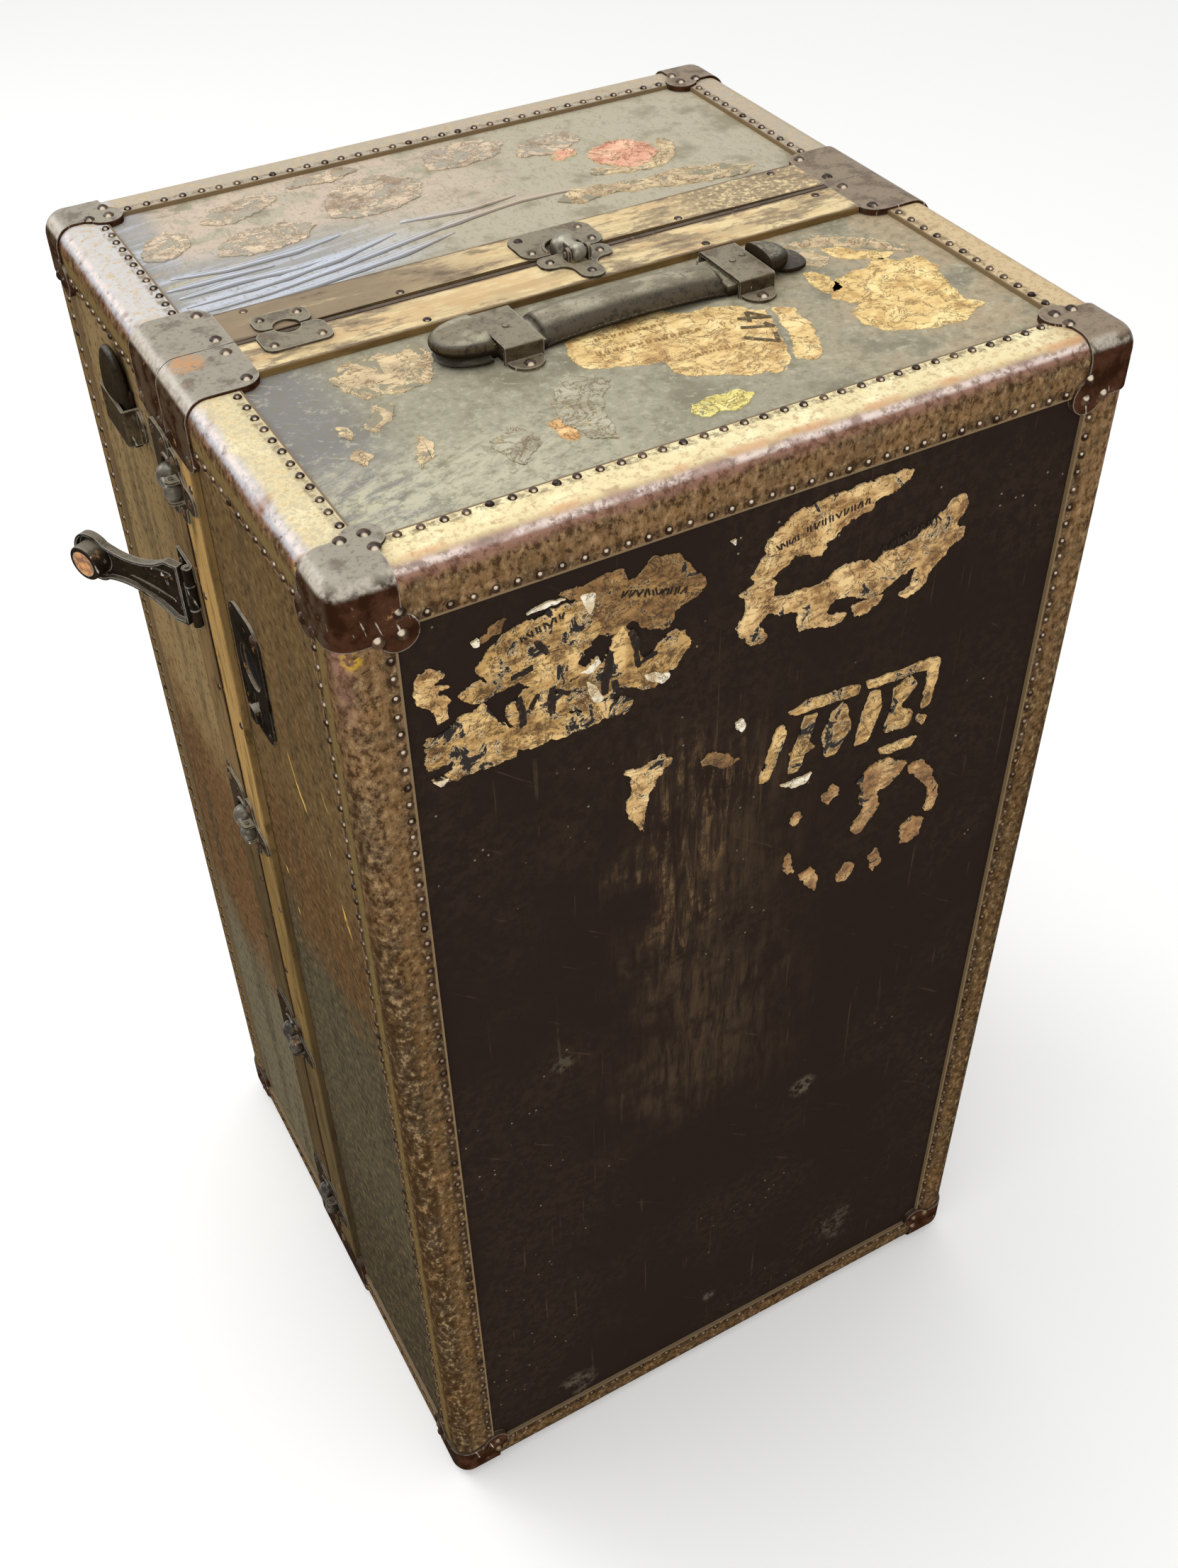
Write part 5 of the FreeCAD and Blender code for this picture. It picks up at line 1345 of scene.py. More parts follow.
@dataclass
class TackRows:
    """Close rows of small domed tacks along both legs of every edge binding."""

    shop: Workshop
    pitch: float = 13.6 * MM
    inset: float = 33.5 * MM
    start: float = 57.0 * MM
    split_gap: float = 61.0 * MM
    radius: float = 2.9 * MM
    height: float = 2.0 * MM
    jitter: float = 0.5 * MM
    segments: int = 8
    rings: int = 4
    chance: random.Random = field(default_factory=lambda: random.Random(17))

    def runs(self, axis: int) -> list[Range]:
        """Give the stretches along an axis that the tacks fill."""
        centre, half = self.shop.planes.centre[axis], self.shop.planes.half[axis]
        low, high = centre - half + self.start, centre + half - self.start
        if axis != 1:
            return [(low, high)]
        split = self.shop.planes.split
        return [(low, split - self.split_gap), (split + self.split_gap, high)]

    def build(self) -> None:
        """Make the tacks of the base and of the lid."""
        planes = self.shop.planes
        meshes = {"base": bmesh.new(), "lid": bmesh.new()}
        for axis, side_axis in permutations(range(3), 2):
            run_axis = 3 - axis - side_axis
            for sign, side, (low, high) in product((-1, 1), (-1, 1), self.runs(run_axis)):
                place = planes.centre.copy()
                place[axis] += sign * (planes.half[axis] - planes.cap_rise)
                place[side_axis] += side * (planes.half[side_axis] - self.inset)
                place[run_axis] = (low + high) / 2
                body = "lid" if place.y > planes.split else "base"
                self.row(meshes[body], place, (axis, side_axis, run_axis), (low, high))
        for body, mesh in meshes.items():
            shade(mesh)
            self.shop.piece(body + "_tacks", mesh, Finish.TACK, body, "rivet_steel")

    def row(self, rows: bmesh.types.BMesh, place: Vector, axes: tuple[int, int, int], run: Range) -> None:
        """Make one row.

        Args:
            rows: the mesh that takes the row.
            place: a point on the row.
            axes: the axes that the heads point along, that cross the row, and that it runs along.
            run: the row's ends along its own axis.
        """
        axis, side_axis, run_axis = axes
        count = round((run[1] - run[0]) / self.pitch)
        size = [self.radius] * 3
        size[axis] = self.height
        turn = Matrix.Rotation(math.radians(90), 4, "Y") if axis == 0 else Matrix.Identity(4)
        mesh = bmesh.new()
        for index in range(count + 1):
            head = place.copy()
            shift = self.chance.uniform(-1, 1) * self.jitter
            head[run_axis] = run[0] + (run[1] - run[0]) * index / count + shift
            head[side_axis] += self.chance.uniform(-1, 1) * self.jitter
            matrix = Matrix.Translation(head) @ Matrix.Diagonal((*size, 1)) @ turn
            bmesh.ops.create_uvsphere(mesh, u_segments=self.segments, v_segments=self.rings, radius=1,
                                      matrix=matrix)
        join(rows, mesh)


@dataclass
class SlatNails:
    """Sparse domed nails that hold the slats, in a zigzag."""

    shop: Workshop
    spacing: float = 92.0 * MM
    radius: float = 3.0 * MM
    height: float = 1.2 * MM
    inset: float = 6.5 * MM
    end_gap: float = 74.0 * MM
    jitter: float = 6.0 * MM
    segments: int = 10
    rings: int = 6
    chance: random.Random = field(default_factory=lambda: random.Random(11))

    def build(self) -> None:
        """Make the nails of both halves, but none underneath, where the slats lie flat on the floor."""
        planes = self.shop.planes
        for body, name in (("base", "base_slats"), ("lid", "lid_slats")):
            low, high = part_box(name)
            mesh = bmesh.new()
            for axis, sign in product((0, 2), (-1, 1)):
                run_axis = 2 - axis
                reach = planes.half[run_axis] - self.end_gap
                count = round(2 * reach / self.spacing)
                size = [self.radius] * 3
                size[axis] = self.height
                for index in range(count + 1):
                    head = planes.centre.copy()
                    head[axis] += sign * planes.half[axis]
                    shift = self.chance.uniform(-1, 1) * self.jitter
                    head[run_axis] += reach * (2 * index / count - 1) + shift
                    head.y = low.y + self.inset if index % 2 else high.y - self.inset
                    if head.z > self.radius:
                        dome(mesh, Matrix.Translation(head), size, self.segments, self.rings)
            shade(mesh)
            self.shop.piece(body + "_slat_nails", mesh, Finish.TACK, body, "rivet_steel")


def in_metres(points: Iterable[Range]) -> list[Vector]:
    """Give flat points in metres from pairs in millimetres."""
    return [Vector((x * MM, y * MM, 0)) for x, y in points]


def torn_outline(outline: Iterable[Range], step: float, depth: float, seed: int) -> list[Vector]:
    """Ease an outline's corners and tear its edge.

    Args:
        outline: the outline's corners, in millimetres.
        step: the length of the steps that it is walked in, in metres.
        depth: how deep the tears are, in metres.
        seed: the number that makes this tear differ from others.

    Returns:
        The torn outline's points, in metres.
    """
    corner_shares, waves, gap = (0.12, 0.88), (90, 260, 650), 3.7
    points = in_metres(outline)
    pairs = zip(points, points[1:] + points[:1])
    points = [first.lerp(second, share) for first, second in pairs for share in corner_shares]
    torn = []
    for first, second in zip(points, points[1:] + points[:1]):
        count = max(1, round((second - first).length / step))
        for index in range(count):
            spot = first.lerp(second, index / count)
            push = Vector()
            for scale in waves:
                seen = noise.noise_vector(Vector((spot.x * scale, spot.y * scale, seed * gap)))
                push += seen * (waves[0] / scale) ** 0.5
            torn.append(spot + Vector((push.x, push.y, 0)) * depth)
    return torn


@dataclass
class TornPaper:
    """A scrap of pasted paper with a torn edge, lying on the canvas."""

    shop: Workshop
    name: str
    face: Face
    finish: Finish
    outlines: tuple[Outline, ...]
    thickness: float = 0.35 * MM
    depth: float = 2.9 * MM
    step: float = 1.0 * MM
    rim: float = 0.8 * MM
    seed: int = 1

    def build(self) -> None:
        """Cut the outlines, tear their edges and lay them on their face."""
        mesh = bmesh.new()
        for index, outline in enumerate(self.outlines):
            join(mesh, self.scrap(outline, self.seed + index * 7))
        bmesh.ops.transform(mesh, matrix=self.shop.planes.on_face(self.face), verts=mesh.verts[:])
        bmesh.ops.recalc_face_normals(mesh, faces=mesh.faces[:])
        body = self.face.value.split("_")[0]
        self.shop.piece(self.name, mesh, self.finish, body, "canvas")

    def scrap(self, outline: Outline, seed: int) -> bmesh.types.BMesh:
        """Make one scrap, flat in X and Y, with a rim that its finish can colour."""
        mesh = bmesh.new()
        rim = mesh.verts.layers.float.new("rim")
        corners = [mesh.verts.new(spot) for spot in torn_outline(outline, self.step, self.depth, seed)]
        mesh.faces.new(corners)
        if self.rim > 0:
            bmesh.ops.inset_region(mesh, faces=mesh.faces[:], thickness=self.rim, use_boundary=True)
            for edge in mesh.edges:
                if edge.is_boundary:
                    for vertex in edge.verts:
                        vertex[rim] = 1.0
        raised = bmesh.ops.extrude_face_region(mesh, geom=mesh.faces[:], use_keep_orig=True)
        tops = [item for item in raised["geom"] if isinstance(item, bmesh.types.BMVert)]
        bmesh.ops.translate(mesh, verts=tops, vec=(0, 0, self.thickness))
        bmesh.ops.triangulate(mesh, faces=mesh.faces[:])
        return mesh


@dataclass
class PaperScraps:
    """All the torn papers on the top and on the front, the lower ones first."""

    shop: Workshop
    layer: float = 0.05 * MM
    scraps: tuple[tuple[str, Face, Finish, tuple[Outline, ...]], ...] = (
        ("top_label", Face.BASE_TOP, Finish.TAN_PAPER, (
            ((-49, -106), (-41, -93), (-30, -83), (-10, -80), (8, -84), (22, -82), (32, -90), (44, -101),
             (58, -98), (68, -104), (80, -113), (90, -122), (80, -150), (70, -180), (58, -192), (44, -188),
             (24, -178), (4, -168), (-4, -158), (0, -146), (-20, -138), (-40, -132), (-50, -122)),
            ((94, -120), (107, -128), (104, -148), (98, -168), (90, -186), (80, -191), (72, -181),
             (84, -152)),
        )),
        ("right_label", Face.BASE_TOP, Finish.GOLD_PAPER, (
            ((150, -113), (160, -107), (176, -106), (192, -101), (204, -108), (219, -112), (222, -128),
             (213, -140), (212, -160), (208, -176), (215, -186), (204, -190), (190, -197), (168, -196),
             (154, -190), (140, -184), (132, -170), (134, -150), (148, -146), (140, -138), (134, -130),
             (141, -124)),
            ((136, -92), (146, -92), (150, -108), (149, -119), (138, -124), (134, -112)),
            ((168, -68), (178, -70), (186, -80), (196, -88), (207, -99), (194, -101), (180, -93), (168, -82)),
        )),
        ("right_back_scrap", Face.BASE_TOP, Finish.BROWN_PAPER, (
            ((143, -52), (166, -48), (186, -56), (204, -70), (222, -92), (216, -104), (200, -88), (182, -72),
             (164, -64)),
            ((150, -66), (162, -68), (166, -80), (158, -90), (146, -88), (141, -76)),
        )),
        ("yellow_scrap", Face.BASE_TOP, Finish.YELLOW_PAPER, (
            ((-19, -204), (-12, -197), (2, -194), (21, -195), (27, -204), (18, -213), (4, -214), (-10, -213)),
        )),
        ("small_tan_scrap", Face.BASE_TOP, Finish.AMBER_PAPER, (
            ((-98, -171), (-90, -168), (-86, -178), (-86, -192), (-91, -197), (-97, -188)),
        )),
        ("left_scrap", Face.BASE_TOP, Finish.BROWN_PAPER, (
            ((-180, -54), (-168, -44), (-150, -46), (-140, -52), (-122, -44), (-119, -60), (-127, -76),
             (-132, -92), (-150, -95), (-176, -92), (-182, -78), (-190, -66)),
            ((-176, -100), (-164, -105), (-168, -116), (-186, -130), (-190, -122), (-182, -108)),
        )),
        ("left_low_scrap", Face.BASE_TOP, Finish.BROWN_PAPER, (
            ((-166, -143), (-162, -156), (-168, -168), (-179, -176), (-176, -164), (-170, -154)),
            ((-204, -114), (-198, -118), (-201, -130), (-206, -124)),
            ((-212, -146), (-204, -140), (-200, -152), (-207, -162)),
        )),
        ("grey_scrap", Face.BASE_TOP, Finish.GREY_PAPER, (
            ((-68, -131), (-46, -136), (-41, -146), (-60, -172), (-66, -206), (-82, -198), (-88, -176),
             (-84, -152)),
            ((-136, -172), (-112, -164), (-108, -186), (-130, -204)),
        )),
        ("lid_scraps", Face.LID_TOP, Finish.LID_PAPER, (
            ((-236, 150), (-228, 176), (-208, 190), (-196, 178), (-200, 160), (-214, 146)),
            ((-190, 134), (-180, 152), (-158, 164), (-132, 160), (-112, 148), (-122, 130), (-150, 122),
             (-172, 124)),
            ((-184, 186), (-168, 206), (-130, 214), (-118, 200), (-140, 186), (-164, 176)),
            ((-100, 152), (-92, 180), (-70, 200), (-40, 198), (-18, 176), (-26, 152), (-50, 140), (-80, 138)),
            ((-112, 212), (-92, 226), (-58, 226), (-50, 214), (-80, 206)),
            ((-6, 186), (0, 214), (40, 222), (66, 204), (52, 186), (20, 178)),
            ((60, 172), (74, 196), (112, 200), (118, 176), (88, 164)),
        )),
        ("lid_right_scrap", Face.LID_TOP, Finish.BROWN_PAPER, (
            ((50, 90), (66, 101), (90, 98), (120, 91), (150, 93), (182, 85), (207, 70), (190, 61), (150, 66),
             (118, 76), (90, 82), (62, 78)),
            ((94, 116), (112, 110), (128, 104), (150, 106), (168, 120), (176, 140), (168, 150), (160, 128),
             (140, 112), (116, 116), (100, 126)),
        )),
        ("lid_red_scrap", Face.LID_TOP, Finish.RED_PAPER, (
            ((106, 148), (118, 158), (132, 162), (150, 157), (160, 144), (157, 127), (146, 116), (130, 112),
             (118, 119), (108, 130)),
            ((80, 156), (90, 168), (106, 164), (98, 154), (86, 151)),
        )),
        ("front_cluster_low", Face.FRONT, Finish.FRONT_PAPER, (
            ((-229, 897), (-206, 902), (-190, 908), (-184, 894), (-176, 880), (-162, 876), (-150, 882),
             (-132, 876), (-112, 877), (-98, 873), (-90, 867), (-94, 860), (-120, 862), (-160, 861),
             (-169, 866), (-174, 859), (-220, 858), (-227, 864), (-213, 869), (-212, 873), (-229, 872)),
        )),
        ("front_cluster_right", Face.FRONT, Finish.DARK_PAPER, (
            ((-140, 968), (-118, 969), (-98, 968), (-95, 960), (-86, 962), (-76, 968), (-64, 967), (-54, 958),
             (-46, 946), (-41, 938), (-50, 930), (-59, 927), (-68, 915), (-77, 917), (-86, 923), (-92, 930),
             (-102, 925), (-114, 930), (-119, 944), (-128, 957)),
        )),
        ("front_cluster_left", Face.FRONT, Finish.FRONT_PAPER, (
            ((-186, 922), (-194, 931), (-189, 943), (-178, 949), (-160, 957), (-140, 958), (-124, 957),
             (-118, 946), (-112, 938), (-116, 928), (-123, 921), (-130, 911), (-118, 904), (-136, 901),
             (-158, 907), (-168, 915), (-178, 912), (-200, 911), (-206, 920), (-196, 926)),
        )),
        ("front_cluster_mid", Face.FRONT, Finish.FRONT_PAPER, (
            ((-174, 903), (-154, 909), (-136, 899), (-124, 902), (-120, 913), (-113, 904), (-106, 920),
             (-97, 928), (-90, 918), (-88, 902), (-83, 896), (-73, 906), (-60, 912), (-51, 900), (-56, 886),
             (-66, 880), (-78, 871), (-90, 876), (-101, 883), (-112, 873), (-124, 875), (-140, 879),
             (-157, 869), (-170, 878), (-178, 890)),
        )),
        ("front_left_scrap", Face.FRONT, Finish.BAND_PAPER, (
            ((-231, 922), (-231, 945), (-220, 946), (-213, 940), (-219, 933), (-210, 929), (-220, 925),
             (-210, 921), (-214, 907), (-221, 905), (-222, 917)),
        )),
        ("front_small_scraps", Face.FRONT, Finish.DARK_PAPER, (
            ((-190, 953), (-184, 961), (-174, 964), (-177, 956), (-186, 949)),
            ((30, 768), (40, 762), (52, 766), (44, 776)),
            ((-42, 792), (-18, 778), (-10, 784), (-22, 792), (-34, 798)),
        )),
        ("front_arc", Face.FRONT, Finish.BAND_PAPER, (
            ((0, 948), (3, 956), (14, 963), (26, 967), (60, 970), (84, 970), (107, 968), (103, 961),
             (92, 958), (82, 956), (78, 950), (62, 947), (54, 940), (46, 937), (42, 927), (30, 932),
             (22, 938), (17, 929), (4, 926), (-8, 928), (-3, 938), (4, 943)),
        )),
        ("front_band", Face.FRONT, Finish.BAND_PAPER, (
            ((-17, 921), (-12, 911), (-10, 907), (-19, 896), (-16, 887), (-8, 877), (2, 875), (5, 882),
             (-2, 892), (4, 897), (16, 893), (28, 889), (27, 876), (40, 870), (62, 869), (66, 874), (50, 881),
             (53, 889), (64, 887), (75, 883), (90, 882), (104, 887), (122, 890), (116, 879), (109, 872),
             (119, 867), (129, 876), (137, 888), (154, 902), (155, 909), (146, 916), (154, 926), (153, 935),
             (144, 935), (137, 928), (124, 921), (110, 913), (96, 912), (84, 908), (70, 913), (56, 911),
             (46, 906), (24, 905), (8, 908), (9, 918), (6, 927), (-5, 927)),
            ((71, 878), (84, 879), (95, 876), (80, 866), (73, 868)),
        )),
        ("front_crescent", Face.FRONT, Finish.BAND_PAPER, (
            ((-98, 812), (-88, 809), (-72, 814), (-61, 808), (-70, 797), (-78, 786), (-81, 770), (-84, 751),
             (-93, 764), (-97, 784), (-91, 796)),
        )),
        ("front_frame", Face.FRONT, Finish.FRONT_PAPER, (
            ((26, 806), (44, 811), (78, 809), (86, 805), (84, 799), (60, 801), (32, 802)),
            ((90, 807), (110, 806), (152, 805), (152, 780), (149, 762), (142, 760), (144, 782), (143, 797),
             (92, 799)),
            ((108, 737), (124, 738), (142, 736), (137, 728), (110, 731)),
            ((141, 757), (149, 752), (146, 745), (139, 751)),
        )),
        ("front_bars", Face.FRONT, Finish.FRONT_PAPER, (
            ((7, 751), (15, 751), (27, 790), (24, 798), (18, 794)),
            ((30, 750), (40, 750), (52, 796), (41, 797)),
            ((62, 752), (70, 750), (82, 772), (74, 797), (64, 790), (57, 772)),
            ((86, 750), (97, 750), (106, 778), (104, 794), (94, 796)),
            ((110, 752), (132, 749), (135, 762), (122, 772), (136, 786), (128, 797), (114, 790), (116, 772)),
        )),
        ("front_ring", Face.FRONT, Finish.ORANGE_PAPER, (
            ((62, 712), (68, 722), (79, 716), (76, 706), (68, 703)),
            ((37, 702), (43, 711), (47, 701), (40, 694)),
            ((34, 664), (38, 670), (42, 656), (44, 644), (38, 648)),
            ((50, 640), (60, 644), (66, 630), (64, 616), (56, 624)),
            ((84, 622), (92, 632), (100, 628), (96, 614), (87, 613)),
            ((112, 626), (120, 634), (124, 618), (117, 610)),
            ((141, 646), (150, 652), (162, 645), (160, 630), (150, 624), (142, 630)),
            ((138, 710), (152, 708), (162, 692), (172, 670), (168, 652), (160, 650), (163, 668), (153, 688),
             (142, 700)),
            ((92, 716), (104, 724), (124, 722), (136, 712), (126, 700), (112, 694), (116, 680), (108, 666),
             (98, 658), (92, 666), (100, 682), (98, 700)),
        )),
        ("front_white_scraps", Face.FRONT, Finish.WHITE_PAPER, (
            ((-127, 961), (-116, 961), (-117, 950), (-121, 946), (-125, 955)),
            ((-124, 898), (-117, 892), (-112, 879), (-118, 877), (-122, 888)),
            ((-128, 905), (-120, 908), (-115, 913), (-113, 908), (-121, 903)),
            ((-84, 884), (-76, 885), (-64, 878), (-70, 873), (-82, 880)),
            ((-15, 816), (-9, 818), (-6, 812), (-9, 806), (-14, 811)),
            ((24, 742), (40, 741), (52, 743), (46, 735), (36, 735)),
            ((-196, 954), (-191, 956), (-189, 950), (-194, 950)),
            ((-162, 960), (-146, 965), (-134, 962), (-148, 961)),
            ((-26, 962), (-22, 963), (-22, 959)),
            ((-228, 864), (-216, 862), (-222, 858)),
        )),
    )

    def build(self) -> None:
        """Lay every scrap, each with its own torn edge."""
        for index, (name, face, finish, outlines) in enumerate(self.scraps):
            small = "white" in name or "bars" in name or "frame" in name
            scrap = TornPaper(self.shop, name, face, finish, outlines, seed=index + 3)
            scrap.thickness += index * self.layer
            if small:
                scrap.depth, scrap.rim = 1.4 * MM, 0.5 * MM
            if finish in (Finish.LID_PAPER, Finish.GREY_PAPER):
                scrap.rim = 0.0
            scrap.build()


@dataclass
class PrintMarks:
    """Generic print on the papers: short dark marks in rows and a plain number, with no words."""

    shop: Workshop
    thickness: float = 0.25 * MM
    lift: float = 1.2 * MM
    chance: random.Random = field(default_factory=lambda: random.Random(29))
    rows: tuple[tuple[Range, Range, int, float], ...] = (
        ((-166, 944), (-136, 952), 6, 5.0), ((-100, 952), (-54, 938), 9, 5.5), ((8, 945), (24, 948), 4, 5.0),
        ((28, 951), (76, 957), 9, 5.5), ((88, 915), (134, 925), 8, 6.0),
    )
    top_rows: tuple[tuple[Range, Range, int, float], ...] = (
        ((-26, -100), (24, -104), 9, 2.2), ((-34, -116), (40, -122), 13, 3.0),
        ((18, -148), (54, -152), 7, 2.2),
    )
    blocks: tuple[tuple[float, float, float, float, float], ...] = (
        (-167, 892, 5.0, 24, 0.1), (-158, 896, 4.0, 12, -0.5), (-147, 892, 5.0, 20, 0.0),
        (-139, 895, 3.5, 10, 0.9), (-109, 898, 6.0, 30, -0.15), (-103, 884, 5.0, 14, 0.4),
        (-90, 908, 4.5, 30, 0.2), (-80, 898, 12.0, 4, 0.3), (-152, 934, 4.0, 14, 0.5),
        (-165, 921, 16.0, 3.5, 0.1),
    )
    strokes: tuple[tuple[tuple[Range, Range], ...], ...] = (
        (((0.75, 0.0), (0.75, 2.0)), ((0.75, 2.0), (0.0, 0.7)), ((0.0, 0.62), (1.1, 0.62))),
        (((0.5, 0.0), (0.5, 2.0)), ((0.5, 2.0), (0.1, 1.6))),
        (((0.0, 2.0), (1.05, 2.0)), ((1.05, 2.0), (0.4, 0.0))),
    )
    leans: tuple[float, ...] = (0.0, 0.0, 0.5, -0.5)
    part_gap: float = 2.2 * MM
    mark_width: float = 1.2 * MM
    stack: float = 0.02 * MM
    digit: float = 9.8 * MM
    digit_pitch: float = 14.21 * MM
    stroke_width: float = 3.0 * MM
    stroke_overlap: float = 2.0 * MM
    digit_place: tuple[float, float] = (70.5 * MM, -116 * MM)
    digit_turn: float = math.radians(-113)

    def mark(self, mesh: bmesh.types.BMesh, matrix: Matrix, width: float, height: float) -> None:
        """Add one flat mark, its middle at the matrix's place."""
        bmesh.ops.create_cube(mesh, size=1,
                              matrix=matrix @ Matrix.Diagonal((width, height, self.thickness, 1)))

    def lettering(self, name: str, rows: tuple[tuple[Range, Range, int, float], ...], face: Face,
                  finish: Finish) -> None:
        """Make rows of short marks, each leaning its own way.

        Args:
            name: the piece's name.
            rows: each row's start and end in millimetres, its number of marks and their height.
            face: the face that the rows are on.
            finish: their ink.
        """
        plane = self.shop.planes.on_face(face)
        mesh = bmesh.new()
        for (x0, y0), (x1, y1), count, height in rows:
            slope = math.atan2(y1 - y0, x1 - x0)
            for index in range(count):
                share = (index + 0.5) / count
                spot = Vector(((x0 + (x1 - x0) * share) * MM, (y0 + (y1 - y0) * share) * MM, self.lift))
                for part in range(2):
                    turn = Matrix.Rotation(slope + self.chance.choice(self.leans), 4, "Z")
                    shift = Matrix.Translation(((part - 0.5) * self.part_gap, 0, part * self.stack))
                    tall = height * MM * self.chance.uniform(0.7, 1.0)
                    self.mark(mesh, plane @ Matrix.Translation(spot) @ shift @ turn, self.mark_width, tall)
        self.shop.piece(name, mesh, finish, "base", "canvas")

    def build(self) -> None:
        """Make the marks on the front, the dark worn strokes between them, and the number on the top."""
        self.lettering("print_rows", self.rows, Face.FRONT, Finish.DARK_INK)
        self.lettering("top_rows", self.top_rows, Face.BASE_TOP, Finish.FADED_INK)
        outlines = []
        for x, y, width, height, turn in self.blocks:
            turned = Matrix.Rotation(turn, 2)
            corners = [Vector((x, y)) + turned @ Vector((side * width / 2, end * height / 2))
                       for side, end in ((-1, -1), (1, -1), (1, 1), (-1, 1))]
            outlines.append(tuple((corner.x, corner.y) for corner in corners))
        TornPaper(self.shop, "print_blocks", Face.FRONT, Finish.DARK_INK, tuple(outlines), self.lift,
                  1.6 * MM, rim=0.0, seed=91).build()
        top = self.shop.planes.on_face(Face.BASE_TOP)
        number = bmesh.new()
        for index, digit in enumerate(self.strokes):
            for stroke, ((x0, y0), (x1, y1)) in enumerate(digit):
                start, end = Vector((x0, y0, 0)) * self.digit, Vector((x1, y1, 0)) * self.digit
                run = end - start
                turn = Matrix.Rotation(math.atan2(run.y, run.x), 4, "Z")
                raised = Vector((index * self.digit_pitch, 0, self.lift / 2 + stroke * self.stack))
                place = Matrix.Translation((*self.digit_place, 0)) @ Matrix.Rotation(self.digit_turn, 4, "Z")
                place = top @ place @ Matrix.Translation((start + end) / 2 + raised) @ turn
                self.mark(number, place, run.length + self.stroke_overlap, self.stroke_width)
        self.shop.piece("top_number", number, Finish.INK, "base", "canvas")


@dataclass
class LidFolds:
    """Raised folds where the canvas has come loose on the top of the lid."""

    shop: Workshop
    width: float = 11.0 * MM
    height: float = 2.0 * MM
    steps: int = 10
    lines: tuple[Outline, ...] = (
        ((-234, 62), (-180, 66), (-120, 77), (-60, 91), (-10, 101), (30, 106), (62, 104), (92, 98)),
        ((-234, 53), (-150, 60), (-84, 71), (-34, 84)), ((-228, 118), (-190, 112), (-140, 114), (-104, 122)),
        ((-232, 88), (-190, 92), (-150, 90), (-110, 94)), ((-60, 118), (-10, 112), (30, 116)),
        ((-232, 74), (-170, 79), (-120, 88), (-70, 104)), ((-236, 102), (-196, 103), (-160, 102)),
    )
    section: Outline = ((-0.5, 0.0), (-0.4, 0.42), (-0.24, 0.8), (-0.02, 1.0), (0.2, 0.75), (0.5, 0.0))
    tip: float = 0.02
    taper: float = 0.4
    least: float = 0.85
    sway: float = 0.3
    waves: float = 60.0

    def build(self) -> None:
        """Sweep the fold's section along every line, thinner towards its ends."""
        mesh = bmesh.new()
        for line in self.lines:
            join(mesh, self.fold(in_metres(line)))
        bmesh.ops.transform(mesh, matrix=self.shop.planes.on_face(Face.LID_TOP), verts=mesh.verts[:])
        closed(mesh)
        shade(mesh)
        self.shop.piece("lid_top_folds", mesh, Finish.CANVAS, "lid", "canvas")

    def fold(self, line: list[Vector]) -> bmesh.types.BMesh:
        """Make one fold along a line."""
        spots = [first.lerp(second, index / self.steps) for first, second in zip(line, line[1:])
                 for index in range(self.steps)] + [line[-1]]
        mesh = bmesh.new()
        rings = []
        for index, spot in enumerate(spots):
            share = index / (len(spots) - 1)
            full = math.sin(math.pi * min(max(share, self.tip), 1 - self.tip)) ** self.taper
            full *= self.least + self.sway * noise.noise(spot * self.waves)
            along = (spots[min(index + 1, len(spots) - 1)] - spots[max(index - 1, 0)]).normalized()
            across = Vector((-along.y, along.x, 0))
            rings.append([
                mesh.verts.new(spot + (across * u * self.width + Vector((0, 0, v * self.height))) * full)
                for u, v in self.section
            ])
        for first, second in zip(rings, rings[1:]):
            for index in range(len(self.section)):
                following = (index + 1) % len(self.section)
                mesh.faces.new((first[index], first[following], second[following], second[index]))
        mesh.faces.new(rings[0])
        mesh.faces.new(rings[-1])
        return mesh


